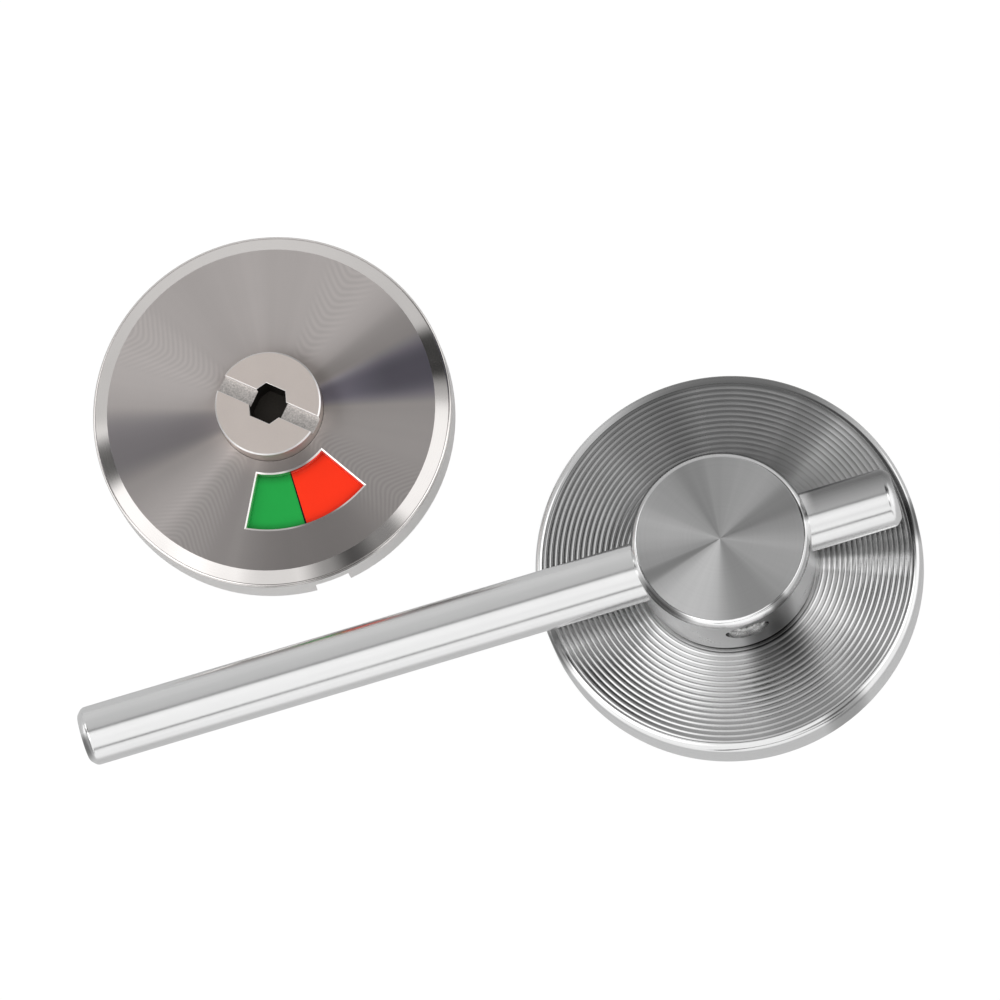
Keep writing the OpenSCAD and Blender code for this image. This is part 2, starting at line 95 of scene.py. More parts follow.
# Octaves of the finer noise, its stretch along a ground bar, and a quarter of a turn of the marks.
FINE_DETAIL = 3.0
ALONG_GRAIN = (0.03, 1, 1)
QUARTER = 0.25
# Direction of the line between the two colours at rest, in degrees.
COLOUR_SEAM = -73.0
WHITE = (1.0, 1.0, 1.0, 1.0)

Point = tuple[float, float]
Colour = tuple[float, float, float]


class Grain(Enum):
    """How the marks of a finish lie on a piece."""

    RINGS = "round the axis"
    LENGTHWISE = "along the axis"
    MOTTLED = "all over"


class Join(Enum):
    """How one solid is worked into another."""

    CUT = "DIFFERENCE"
    ADD = "UNION"
    COMMON = "INTERSECT"


class Shade:
    """A value in a node tree, with operators that add Math nodes."""

    def __init__(self, graph: "Graph", socket: bpy.types.NodeSocket) -> None:
        """Keep the socket and the graph that it belongs to."""
        self.graph = graph
        self.socket = socket

    def math(self, operation: str, first: "Shade | float", second: "Shade | float" = 0.0) -> "Shade":
        """Add one Math node.

        Args:
            operation: The node's operation.
            first: Its first value.
            second: Its second value.

        Returns:
            The node's result.
        """
        return self.graph.node("ShaderNodeMath", {"operation": operation}, {0: first, 1: second})

    def __add__(self, other: "Shade | float") -> "Shade":
        """Sum of two values."""
        return self.math("ADD", self, other)

    def __radd__(self, other: float) -> "Shade":
        """Sum with a number on the left."""
        return self.math("ADD", other, self)

    def __sub__(self, other: "Shade | float") -> "Shade":
        """Difference of two values."""
        return self.math("SUBTRACT", self, other)

    def __rsub__(self, other: float) -> "Shade":
        """Difference with a number on the left."""
        return self.math("SUBTRACT", other, self)

    def __mul__(self, other: "Shade | float") -> "Shade":
        """Product of two values."""
        return self.math("MULTIPLY", self, other)

    def __rmul__(self, other: float) -> "Shade":
        """Product with a number on the left."""
        return self.math("MULTIPLY", other, self)

    def __truediv__(self, other: "Shade | float") -> "Shade":
        """Quotient of two values."""
        return self.math("DIVIDE", self, other)

    def __pow__(self, power: float) -> "Shade":
        """Power of a value."""
        return self.math("POWER", self, power)

    def __abs__(self) -> "Shade":
        """Size of a value without its sign."""
        return self.math("ABSOLUTE", self)

    def rise(self, low: float, high: float) -> "Shade":
        """Smooth step from 0 to 1.

        Args:
            low: Where the step starts.
            high: Where it ends.

        Returns:
            The step's value.
        """
        ends = {"Value": self, "From Min": low, "From Max": high}
        return self.graph.node("ShaderNodeMapRange", {"interpolation_type": "SMOOTHSTEP"}, ends)

    def towards(self, target: float, share: "Shade") -> "Shade":
        """This value moved a share of the way to a target."""
        return self + (target - self) * share


class Graph:
    """The node tree of one finish, of the floor or of the studio."""

    def __init__(self, tree: bpy.types.NodeTree) -> None:
        """Take an empty tree."""
        self.tree = tree
        tree.nodes.clear()

    @staticmethod
    def _find(sockets: bpy.types.bpy_prop_collection, key: int | str) -> bpy.types.NodeSocket:
        """Look up a socket.

        Args:
            sockets: The inputs or outputs of a node.
            key: The socket's number, identifier or name.

        Returns:
            The socket.
        """
        if isinstance(key, int):
            return sockets[key]
        return next((s for s in sockets if s.identifier == key), None) or sockets[key]

    def node(
        self, kind: str, settings: dict | None = None, inputs: dict | None = None, output: int | str = 0,
    ) -> Shade | None:
        """Add a node.

        Args:
            kind: The node's type.
            settings: Its settings, set before its sockets.
            inputs: Values or links of its sockets, by number, identifier or name.
            output: The output that is wanted.

        Returns:
            That output, or None where the node has none.
        """
        made = self.tree.nodes.new(kind)
        for name, value in (settings or {}).items():
            setattr(made, name, value)
        for key, value in (inputs or {}).items():
            socket = self._find(made.inputs, key)
            if isinstance(value, Shade):
                self.tree.links.new(value.socket, socket)
            else:
                socket.default_value = value
        return Shade(self, self._find(made.outputs, output)) if made.outputs else None

    def noise(self, place: Shade, size: float, detail: float = 2.0, stretch: Colour = (1, 1, 1)) -> Shade:
        """Cloudy noise about zero.

        Args:
            place: Coordinates in millimetres.
            size: Size of a cloud in millimetres.
            detail: Octaves of finer noise.
            stretch: Scale of the coordinates along each axis.

        Returns:
            A value from about -1 to 1.
        """
        spread = self.node("ShaderNodeVectorMath", {"operation": "MULTIPLY"}, {0: place, 1: stretch})
        inputs = {"Vector": spread, "Scale": 1 / size, "Detail": detail}
        return 2.0 * self.node("ShaderNodeTexNoise", None, inputs) - 1.0

    def line_noise(self, distance: Shade, size: float) -> Shade:
        """Noise along one distance, about zero.

        Args:
            distance: Distance in millimetres.
            size: Size of a mark in millimetres.

        Returns:
            A value from about -1 to 1.
        """
        inputs = {"W": distance, "Scale": 1 / size, "Detail": FINE_DETAIL}
        return 2.0 * self.node("ShaderNodeTexNoise", {"noise_dimensions": "1D"}, inputs) - 1.0

    def part(self, vector: Shade, letter: str) -> Shade:
        """One coordinate of a vector, by its letter."""
        return self.node("ShaderNodeSeparateXYZ", None, {0: vector}, letter)

    def dot(self, vector: Shade, direction: Sequence[float]) -> Shade:
        """Dot product of a vector with a fixed direction."""
        inputs = {0: vector, 1: direction}
        return self.node("ShaderNodeVectorMath", {"operation": "DOT_PRODUCT"}, inputs, "Value")

    def bump(self, height: Shade, depth: float, strength: float) -> Shade:
        """Normal of a finely rough surface.

        Args:
            height: Pattern of the roughness, about zero.
            depth: Its depth in millimetres.
            strength: How much of it shows.

        Returns:
            The normal.
        """
        inputs = {"Strength": strength, "Distance": depth * MM, "Height": height}
        return self.node("ShaderNodeBump", None, inputs, "Normal")

    def scaled(self, colour: Colour, factor: Shade) -> Shade:
        """A colour times a value."""
        return self.node("ShaderNodeVectorMath", {"operation": "SCALE"}, {0: colour, "Scale": factor})

    def blend(self, first: Shade | Colour, second: Shade | Colour, share: Shade) -> Shade:
        """Mix of two colours.

        Args:
            first: The colour at a share of 0.
            second: The colour at a share of 1.
            share: How much of the second shows.

        Returns:
            The mixed colour.
        """
        ends = [value if isinstance(value, Shade) else (*value, 1.0) for value in (first, second)]
        inputs = {"Factor_Float": share, "A_Color": ends[0], "B_Color": ends[1]}
        return self.node("ShaderNodeMix", {"data_type": "RGBA"}, inputs, "Result_Color")


@dataclass(frozen=True)
class Axis:
    """The line that a piece is turned about: a point on it and, for a lying bar, its heading."""

    x: float = 0.0
    y: float = 0.0
    z: float = 0.0
    heading: float = 0.0

    def matrix(self) -> Matrix:
        """Transform from an upright piece at the origin to this place, in metres."""
        place = Matrix.Translation(Vector((self.x, self.y, self.z)) * MM)
        return place @ Matrix.Rotation(math.radians(self.heading), 4, "Z")

    def coordinates(self, graph: Graph) -> Shade:
        """Object coordinates in millimetres about this axis.

        Args:
            graph: The finish's node tree.

        Returns:
            The coordinates as a vector.
        """
        point = graph.node("ShaderNodeTexCoord", None, None, "Object")
        turned = Matrix.Rotation(math.radians(-self.heading), 3, "Z") @ Vector((self.x, self.y, self.z))
        inputs = {
            "Vector": point, "Location": -turned, "Rotation": (0, 0, math.radians(-self.heading)),
            "Scale": (1 / MM, 1 / MM, 1 / MM),
        }
        return graph.node("ShaderNodeMapping", None, inputs)


@dataclass(frozen=True)
class Ray:
    """A ray of a turned face that differs from the rest, up to a radius if one is given. In a colour it is painted
    highlight, painted shade or a painted reflection; in a roughness it is a rougher sector.
    """

    azimuth: float
    width: float
    change: float
    reach: float | None = None
    fade: float = 4.0

    def share(self, x: Shade, y: Shade, radius: Shade) -> Shade:
        """How far inside the ray a point lies.

        Args:
            x: First coordinate about the axis.
            y: Second coordinate.
            radius: Distance from the axis.

        Returns:
            A value from 0 at the ray's sides to 1 at its middle.
        """
        towards = math.radians(self.azimuth)
        cosine = (x * math.cos(towards) + y * math.sin(towards)) / radius
        inside = cosine.rise(math.cos(math.radians(self.width)), 1.0)
        if self.reach is None:
            return inside
        return inside * (1.0 - radius.rise(self.reach - self.fade, self.reach + self.fade))


@dataclass(frozen=True)
class Fringe:
    """Painted sheen: nested light and dark chevrons where fine turning marks catch the light along one ray of a
    face.
    """

    azimuth: float
    width: float
    pitch: float
    bend: float = 0.8
    blunt: float = 0.6
    wander: float = 0.3

    def waves(self, x: Shade, y: Shade, radius: Shade, clouds: Shade) -> Shade:
        """Painted light and dark of the chevrons.

        Args:
            x: First coordinate about the axis.
            y: Second coordinate.
            radius: Distance from the axis.
            clouds: Noise that makes the chevrons uneven.

        Returns:
            A value about zero, from -1 to 1.
        """
        towards = math.radians(self.azimuth)
        ahead = x * math.cos(towards) + y * math.sin(towards)
        aside = y * math.cos(towards) - x * math.sin(towards)
        path = ahead - self.bend * (aside * aside + self.blunt) ** 0.5 + self.wander * clouds
        near = (ahead / radius).rise(math.cos(math.radians(self.width)), 1.0)
        return path.math("SINE", path * (math.tau / self.pitch)) * near


@dataclass(frozen=True)
class Dusk:
    """Painted shade: darker far upper side of a bar beyond a point along it."""

    start: float
    side: float
    change: float
    fade: float = 1.0
    above: Point = (-0.5, 0.2)
    behind: Point = (-0.5, 1.0)

    def share(self, x: Shade, y: Shade, z: Shade) -> Shade:
        """How far inside the painted shade a point lies.

        Args:
            x: Distance along the bar.
            y: Distance to its far side.
            z: Height above its axis.

        Returns:
            A value from 0 to 1.
        """
        beyond = (x - self.start).rise(-self.fade, self.fade)
        above = z.rise(*(self.side * end for end in self.above))
        return beyond * above * y.rise(*(self.side * end for end in self.behind))


def start_material(name: str) -> tuple[bpy.types.Material, Graph]:
    """Make an empty material.

    Args:
        name: The material's name.

    Returns:
        The material and its node tree.
    """
    material = bpy.data.materials.new(name)
    material.use_nodes = True
    return material, Graph(material.node_tree)


def end_material(graph: Graph, inputs: dict) -> None:
    """Close a material with a Principled shader.

    Args:
        graph: The material's node tree.
        inputs: Values and links of the shader's sockets.
    """
    shader = graph.node("ShaderNodeBsdfPrincipled", None, inputs)
    graph.node("ShaderNodeOutputMaterial", None, {"Surface": shader})


def seam_distance(graph: Graph, place: Shade, azimuth: float) -> Shade:
    """Distance from a straight seam through the axis.

    Args:
        graph: The material's node tree.
        place: Coordinates about the axis.
        azimuth: Direction of the seam.

    Returns:
        The distance in millimetres.
    """
    edge = math.radians(azimuth)
    return abs(graph.dot(place, (-math.sin(edge), math.cos(edge), 0)))


@dataclass(frozen=True)
class Metal:
    """Bare or plated metal with the marks of its making, and with painted highlights, painted shade and painted
    reflections laid into its colour.
    """

    name: str
    tint: Colour
    roughness: float
    grain: Grain = Grain.MOTTLED
    grain_size: float = 0.15
    grain_contrast: float = 0.05
    grain_depth: float = 0.0005
    grain_strength: float = 0.5
    roughness_swing: float = 0.03
    cloud_size: float = 5.0
    cloud_contrast: float = 0.03
    fan_contrast: float = 0.0
    fan_size: float = 0.12
    anisotropy: float = 0.0
    quarter_turn: bool = False
    # Painted highlight where a ray's change is above zero and painted shade where it is below.
    painted_rays: tuple[Ray, ...] = ()
    # Painted sheen: chevrons where the turning marks catch the light.
    painted_fringes: tuple[Fringe, ...] = ()
    painted_fringe_contrast: float = 0.05
    blurs: tuple[Ray, ...] = ()
    # Painted reflection: a bluish tint blended in within its own ray.
    painted_reflection_tint: Colour = (0.5, 0.5, 0.6)
    painted_reflection_rays: tuple[Ray, ...] = ()
    # Painted shade on a bar's far upper side.
    painted_dusk: Dusk | None = None

    def _marks(self, graph: Graph, place: Shade, radius: Shade) -> Shade:
        """The pattern of the tool's marks.

        Args:
            graph: The finish's node tree.
            place: Coordinates about the axis.
            radius: Distance from the axis.

        Returns:
            A value about zero, from about -1 to 1.
        """
        if self.grain is Grain.RINGS:
            return graph.line_noise(radius, self.grain_size)
        stretch = ALONG_GRAIN if self.grain is Grain.LENGTHWISE else (1, 1, 1)
        return graph.noise(place, self.grain_size, FINE_DETAIL, stretch)

    @cache
    def material(self, axis: Axis) -> bpy.types.Material:
        """Build the finish for pieces on one axis.

        Args:
            axis: The axis that the marks follow.

        Returns:
            The material.
        """
        material, graph = start_material(f"{self.name}_{len(bpy.data.materials)}")
        place = axis.coordinates(graph)
        x, y, z = (graph.part(place, letter) for letter in "XYZ")
        radius = (x * x + y * y + WELD) ** 0.5
        marks = self._marks(graph, place, radius)
        clouds = graph.noise(place, self.cloud_size)
        light = 1.0 + self.grain_contrast * marks + self.cloud_contrast * clouds
        if self.fan_contrast:
            heading = graph.node("ShaderNodeCombineXYZ", None, {"X": x / radius, "Y": y / radius})
            light = light + self.fan_contrast * graph.noise(heading, self.fan_size)
        # Painted highlight and painted shade, one ray at a time.
        for ray in self.painted_rays:
            light = light * (1.0 + ray.change * ray.share(x, y, radius))
        # Painted sheen of the chevrons.
        for fringe in self.painted_fringes:
            light = light + self.painted_fringe_contrast * fringe.waves(x, y, radius, clouds)
        # Painted shade on the bar's far upper side.
        if self.painted_dusk:
            light = light * (1.0 + self.painted_dusk.change * self.painted_dusk.share(x, y, z))
        roughness = self.roughness + self.roughness_swing * (marks + clouds)
        for ray in self.blurs:
            roughness = roughness + ray.change * ray.share(x, y, radius)
        colour = graph.scaled(self.tint, light)
        # Painted reflection of bluish surroundings.
        for ray in self.painted_reflection_rays:
            reflected_tint = graph.scaled(self.painted_reflection_tint, light)
            colour = graph.blend(colour, reflected_tint, ray.change * ray.share(x, y, radius))
        end_material(graph, {
            "Base Color": colour,
            "Metallic": 1.0,
            "Roughness": roughness,
            "Anisotropic": self.anisotropy,
            "Anisotropic Rotation": QUARTER if self.quarter_turn else 0.0,
            "Normal": graph.bump(marks, self.grain_depth, self.grain_strength),
        })
        return material


@dataclass(frozen=True)
class Enamel:
    """Glossy enamel on a colour plate, with painted shade towards its arcs and along its dividing edge, and a
    painted glow of its own colour.
    """

    name: str
    colour: Colour
    # Colour of the painted shade towards the arcs.
    shade: Colour
    # Radii where the painted shade is deepest, and how far in it fades.
    inner: float = 8.9
    outer: float = 16.9
    soft: float = 1.6
    divide: float = COLOUR_SEAM
    # Painted shade in the gap along the dividing edge: its width and colour.
    line: float = 0.12
    painted_gap_shade: Colour = (0.02, 0.02, 0.02)
    cloud_size: float = 2.5
    cloud_share: float = 0.08
    speck: float = 0.12
    speck_depth: float = 0.002
    speck_strength: float = 0.2
    roughness: float = 0.45
    roughness_swing: float = 0.04
    specular: float = 0.2
    # Painted glow: the enamel gives off its own colour, though it is no lamp.
    glow: float = 0.22

    @cache
    def material(self, axis: Axis) -> bpy.types.Material:
        """Build the enamel about the disc's axis.

        Args:
            axis: The disc's axis.

        Returns:
            The material.
        """
        material, graph = start_material(self.name)
        place = axis.coordinates(graph)
        x, y = (graph.part(place, letter) for letter in "XY")
        radius = (x * x + y * y) ** 0.5
        across = seam_distance(graph, place, self.divide)
        # Painted shade towards both arcs, where the window's rim shades the plate.
        depth = (radius - self.inner).rise(0, self.soft) * (self.outer - radius).rise(0, self.soft)
        clouds = 1 - self.cloud_share + self.cloud_share * graph.noise(place, self.cloud_size)
        body = graph.blend(self.shade, self.colour, depth * clouds)
        specks = graph.noise(place, self.speck)
        end_material(graph, {
            # Painted shade along the gap at the dividing edge.
            "Base Color": graph.blend(self.painted_gap_shade, body, across.rise(self.line / 2, self.line)),
            "Roughness": self.roughness + self.roughness_swing * specks,
            "Specular IOR Level": self.specular,
            # Painted glow of the enamel's own colour.
            "Emission Color": body,
            "Emission Strength": self.glow,
            "Normal": graph.bump(specks, self.speck_depth, self.speck_strength),
        })
        return material


@dataclass(frozen=True)
class Coating:
    """Paint or plastic with a fine texture, and painted shade along a seam if its direction is given."""

    name: str
    colour: Colour
    roughness: float
    roughness_swing: float = 0.06
    speck: float = 0.3
    speck_contrast: float = 0.12
    speck_depth: float = 0.01
    speck_strength: float = 0.3
    # Direction of the painted shade along the seam, and where it starts to fade and where it ends.
    seam: float | None = None
    seam_core: float = 0.27
    seam_half: float = 0.3

    @cache
    def material(self, axis: Axis) -> bpy.types.Material:
        """Build the coating.

        Args:
            axis: The axis of the piece.

        Returns:
            The material.
        """
        material, graph = start_material(self.name)
        place = axis.coordinates(graph)
        specks = graph.noise(place, self.speck, FINE_DETAIL)
        light = 1.0 + self.speck_contrast * specks
        # Painted shade along the seam, where the gap between the colour plates lies over the disc.
        if self.seam is not None:
            light = light * seam_distance(graph, place, self.seam).rise(self.seam_core, self.seam_half)
        end_material(graph, {
            "Base Color": graph.scaled(self.colour, light),
            "Roughness": self.roughness + self.roughness_swing * specks,
            "Normal": graph.bump(specks, self.speck_depth, self.speck_strength),
        })
        return material


LEVER_AXIS = Axis()

# In the finishes below, a ray with a change below zero is painted shade and one above zero a painted highlight,
# standing in for the reflections and shadows round the hub and the bar.
GROOVED_STEEL = Metal(
    "grooved_steel", (0.5, 0.5, 0.5), 0.16, Grain.RINGS,
    grain_size=0.2, grain_contrast=0.04, grain_depth=0.001, fan_contrast=0.05,
    painted_rays=(
        Ray(90, 48, -0.6), Ray(120, 20, -0.35), Ray(60, 9, -0.2), Ray(37, 14, -0.2), Ray(152, 34, -0.4),
        # Painted shadow: a dark sector under the hub, short of the rim.
        Ray(-62, 19, -0.25), Ray(-60, 23, -0.7, 17.0), Ray(-38, 10, -0.18), Ray(-143, 9, -0.2),
        # Painted highlight and painted reflection of the bar beside its tail.
        Ray(-1.5, 5, 0.45), Ray(4.5, 4, -0.3),
    ),
    blurs=(Ray(46, 30, 0.3), Ray(80, 28, 0.2)))
# Painted reflections: the sunburst of darker and lighter sectors on the hub's top.
FACED_STEEL = Metal(
    "faced_steel", (0.56, 0.56, 0.56), 0.4, Grain.RINGS,
    grain_size=0.3, grain_contrast=0.03, fan_contrast=0.05, anisotropy=0.85, quarter_turn=True,
    painted_rays=(
        Ray(112, 14, -0.15), Ray(95, 42, -0.3), Ray(30, 14, -0.25), Ray(208, 7, -0.3), Ray(240, 34, 0.2),
        Ray(-62, 32, -0.35), Ray(-25, 20, -0.2), Ray(52, 24, -0.16), Ray(138, 28, -0.24), Ray(190, 20, 0.12),
    ))
# Painted shade: a dark break on the hub's side.
TURNED_STEEL = Metal(
    "turned_steel", (0.74, 0.74, 0.74), 0.28,
    grain_size=0.3, grain_contrast=0.015, grain_depth=0.0003, roughness_swing=0.01, cloud_contrast=0.01,
    painted_rays=(Ray(-50, 13, -0.5),))
# Painted reflections: darker sectors of the hub's bevel.
HUB_BEVEL = Metal(
    "hub_bevel", (0.93, 0.93, 0.93), 0.14, Grain.RINGS,
    grain_size=0.1, grain_contrast=0.02, grain_depth=0.0003, roughness_swing=0.01,
    painted_rays=(Ray(226, 30, -0.9), Ray(120, 100, -0.3), Ray(-25, 40, -0.4), Ray(-48, 8, -0.7), Ray(17, 7, -0.6)))
POLISHED_EDGE = Metal(
    "polished_edge", (0.8, 0.8, 0.8), 0.12, Grain.RINGS, grain_size=0.1, grain_contrast=0.03)
# Painted shade in sectors of the rose's edge, the bar's dark reflection beside its tail among them.
ROSE_EDGE = Metal(
    "rose_edge", (0.78, 0.78, 0.78), 0.14, Grain.RINGS, grain_size=0.1, grain_contrast=0.03,
    painted_rays=(Ray(88, 48, -0.72), Ray(12.5, 8, -0.75), Ray(-52, 9, -0.6), Ray(-154, 10, -0.7)))
# The bar, with painted shade on the far upper side of its tail.
GROUND_STEEL = Metal(
    "ground_steel", (0.8, 0.8, 0.8), 0.2, Grain.LENGTHWISE,
    grain_size=0.25, grain_contrast=0.03, grain_depth=0.0008, painted_dusk=Dusk(12.5, 3.0, -0.72))
# The bar's end, with a crescent of painted shade on its lower side.
BAR_END = replace(GROUND_STEEL, name="bar_end", painted_dusk=None, painted_rays=(Ray(181.2, 1.2, -0.7),))
# Painted reflections: dark bluish bands across the satin face, with lighter and darker sectors beside them.
SATIN_FACE = Metal(
    "satin_face", (0.588, 0.55, 0.536), 0.46, Grain.RINGS,
    grain_size=0.1, grain_contrast=0.04, grain_depth=0.0008, fan_contrast=0.04, anisotropy=0.9, quarter_turn=True,
    painted_reflection_tint=(0.588, 0.554, 0.68), painted_reflection_rays=(Ray(15, 14, 0.9), Ray(193, 15, 0.25)),
    painted_rays=(
        Ray(15, 14.5, -0.68), Ray(16, 14, 0.7, 13.5), Ray(33, 9, -0.18), Ray(193, 16, -0.36), Ray(-78, 42, -0.38),
        Ray(-60, 80, -0.26), Ray(-118, 16, -0.27), Ray(-12, 40, -0.14), Ray(74, 24, -0.12),
    ),
    # Painted sheen of chevrons on four sides of the face.
    painted_fringes=(Fringe(150, 15, 0.8), Fringe(60, 12, 1.0), Fringe(-35, 15, 0.7), Fringe(-125, 15, 0.7)))
# Painted shade in sectors of the satin bevel.
SATIN_BEVEL = Metal(
    "satin_bevel", (0.84, 0.81, 0.79), 0.1, Grain.RINGS,
    grain_size=0.1, grain_contrast=0.02, grain_depth=0.0004,
    painted_rays=(Ray(-66, 15, -0.7), Ray(-88, 14, -0.25), Ray(9, 8, -0.4)))
SATIN_WALL = Metal(
    "satin_wall", (0.89, 0.87, 0.855), 0.3, grain_size=0.3, grain_contrast=0.03, grain_depth=0.001)
# Warm pink cast: partly the plating's own colour, partly a painted reflection of pink surroundings.
BOSS_SATIN = Metal("boss_satin", (0.89, 0.80, 0.745), 0.32, grain_size=0.2, grain_contrast=0.02)
# Painted shade: the hex hole's walls and floor are steel painted near black.
BORE_PAINTED_DARK = Metal(
    "bore_painted_dark", (0.05, 0.045, 0.04), 0.5, grain_size=0.3, grain_contrast=0.2, grain_depth=0.002)
# The slot's floor: a darker copy of the boss's steel as painted shade in the slot, with its milling marks.
SLOT_FLOOR = Metal(
    "slot_floor", (0.56, 0.53, 0.51), 0.45,
    grain_size=0.2, grain_contrast=0.7, grain_depth=0.03, roughness_swing=0.1)
# Painted highlight: the slot's walls and the bevelled rims are a brighter copy of the boss's steel, with painted
# shade in two sectors.
LIP_PAINTED_BRIGHT = Metal(
    "lip_painted_bright", (0.98, 0.96, 0.95), 0.3, grain_size=0.2, grain_contrast=0.02, grain_depth=0.0003,
    painted_rays=(Ray(45, 45, -0.4), Ray(205, 38, -0.45)))
ZINC_PLATE = Metal(
    "zinc_plate", (0.52, 0.53, 0.54), 0.42,
    grain_size=1.2, grain_contrast=0.12, grain_depth=0.004, roughness_swing=0.08)
BOLT_STEEL = Metal(
    "bolt_steel", (0.62, 0.62, 0.61), 0.3,
    grain_size=0.4, grain_contrast=0.08, grain_depth=0.002, roughness_swing=0.05)
DRAWN_STEEL = replace(BOLT_STEEL, name="drawn_steel", tint=(0.6, 0.6, 0.59), grain_size=0.5)
SPRING_STEEL = Metal(
    "spring_steel", (0.25, 0.25, 0.27), 0.36,
    grain_size=0.4, grain_contrast=0.15, grain_depth=0.002, roughness_swing=0.06)
SCREW_STEEL = Metal(
    "screw_steel", (0.75, 0.75, 0.74), 0.22,
    grain_size=0.3, grain_contrast=0.15, grain_depth=0.002, roughness_swing=0.06)
BUSH_BRASS = Metal(
    "bush_brass", (0.72, 0.5, 0.2), 0.28, Grain.RINGS, grain_size=0.12, grain_contrast=0.08, grain_depth=0.001)
# Each enamel's second colour is its painted shade.
GREEN_ENAMEL = Enamel("green_enamel", (0.012, 0.355, 0.058), (0.006, 0.2, 0.03))
RED_ENAMEL = Enamel("red_enamel", (0.95, 0.032, 0.005), (0.6, 0.02, 0.004))
# White disc paint with painted shade along the gap between the colour plates.
DISC_PAINT = Coating("disc_paint", (0.75, 0.75, 0.73), 0.5, seam=COLOUR_SEAM)
BLACK_NYLON = Coating("black_nylon", (0.02, 0.02, 0.02), 0.55)


@dataclass(frozen=True)
class Extent:
    """The box of a CAD node at rest, in millimetres."""

    low: Vector
    high: Vector

    @classmethod
    def of(cls, node: str) -> "Extent":
        """The box of a node."""
        low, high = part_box(node)
        return cls(low / MM, high / MM)

    @property
    def radius(self) -> float:
        """Half of the width along X."""
        return (self.high.x - self.low.x) / 2

    @property
    def bottom(self) -> float:
        """Lowest height."""
        return self.low.z

    @property
    def top(self) -> float:
        """Greatest height."""
        return self.high.z

    def axis(self) -> Axis:
        """Upright axis through the middle."""
        return Axis((self.low.x + self.high.x) / 2, (self.low.y + self.high.y) / 2)


def arc(centre: Point, size: Point, start: float, end: float, steps: int) -> list[Point]:
    """Points of an arc in a profile.

    Args:
        centre: Middle of the arc, as radius and height.
        size: Half widths of the arc across and up.
        start: First angle, from the outward direction.
        end: Last angle.
        steps: Chords in the arc.

    Returns:
        The points, the ends among them.
    """
    angles = [math.radians(start + (end - start) * i / steps) for i in range(steps + 1)]
    return [(centre[0] + size[0] * math.cos(a), centre[1] + size[1] * math.sin(a)) for a in angles]


def close_up(mesh: BMesh) -> BMesh:
    """Merge doubles, cap open ends and turn every face outwards.

    Args:
        mesh: The mesh to close.

    Returns:
        The same mesh.
    """
    bmesh.ops.remove_doubles(mesh, verts=mesh.verts, dist=WELD)
    bmesh.ops.holes_fill(mesh, edges=mesh.edges, sides=0)
    bmesh.ops.recalc_face_normals(mesh, faces=mesh.faces)
    return mesh


def turn(
    profile: Sequence[Point], steps: int = 192, start: float = 0.0, sweep: float = FULL_TURN,
    climb: float = 0.0,
) -> BMesh:
    """Turn a profile about the Z axis.

    Args:
        profile: Radii and heights, closed unless both ends lie on the axis or the profile climbs.
        steps: Steps in the sweep.
        start: Angle of the first section.
        sweep: Angle that is swept.
        climb: Rise over the whole sweep, as in a thread.

    Returns:
        The closed mesh.
    """
    mesh = bmesh.new()
    line = [mesh.verts.new((r * MM, 0, z * MM)) for r, z in profile]
    pairs = list(zip(line, line[1:]))
    if profile[0][0] and not climb:
        pairs.append((line[-1], line[0]))
    edges = [mesh.edges.new(pair) for pair in pairs]
    bmesh.ops.rotate(mesh, verts=line, cent=(0, 0, 0), matrix=Matrix.Rotation(math.radians(start), 3, "Z"))
    bmesh.ops.spin(
        mesh, geom=line + edges, cent=(0, 0, 0), axis=(0, 0, 1), dvec=(0, 0, climb * MM / steps),
        angle=math.radians(sweep), steps=steps, use_merge=sweep == FULL_TURN and not climb)
    return close_up(mesh)


def rod(radius: float, low: float, high: float, steps: int = 96) -> BMesh:
    """Plain round rod about the Z axis between two heights."""
    return turn([(0, low), (radius, low), (radius, high), (0, high)], steps)


def ring(
    inner: float, outer: float, size: Extent, steps: int, start: float = 0.0, sweep: float = FULL_TURN,
) -> BMesh:
    """Flat ring, or part of one, between the heights of a box.

    Args:
        inner: Inner radius.
        outer: Outer radius.
        size: The box that gives the heights.
        steps: Steps in the sweep.
        start: Angle of the first section.
        sweep: Angle that is swept.

    Returns:
        The closed mesh.
    """
    low, high = size.bottom, size.top
    return turn([(inner, low), (outer, low), (outer, high), (inner, high)], steps, start, sweep)


def block(low: Sequence[float], high: Sequence[float]) -> BMesh:
    """Box between two corners.

    Args:
        low: Lowest corner.
        high: Highest corner.

    Returns:
        The mesh.
    """
    mesh = bmesh.new()
    size, middle = Vector(high) - Vector(low), (Vector(high) + Vector(low)) / 2
    place = Matrix.Translation(middle * MM) @ Matrix.Diagonal((*(size * MM), 1))
    bmesh.ops.create_cube(mesh, size=1, matrix=place)
    return mesh


def corner_radius(across: float) -> float:
    """Distance of a hexagon's corners from its middle, from its width across the flats."""
    return across / 2 / math.cos(HALF_SIDE)


def hexagon(across: float, low: float, high: float) -> BMesh:
    """Hexagon prism with corners on the X axis.

    Args:
        across: Width across the flats.
        low: Lowest height.
        high: Greatest height.

    Returns:
        The mesh.
    """
    mesh = bmesh.new()
    corner = corner_radius(across) * MM
    place = Matrix.Translation((0, 0, (low + high) / 2 * MM)) @ Matrix.Rotation(HALF_SIDE, 4, "Z")
    bmesh.ops.create_cone(
        mesh, cap_ends=True, segments=6, radius1=corner, radius2=corner, depth=(high - low) * MM, matrix=place)
    return mesh


def moved(mesh: BMesh, matrix: Matrix) -> BMesh:
    """The same mesh after a transform."""
    bmesh.ops.transform(mesh, matrix=matrix, verts=mesh.verts)
    return mesh


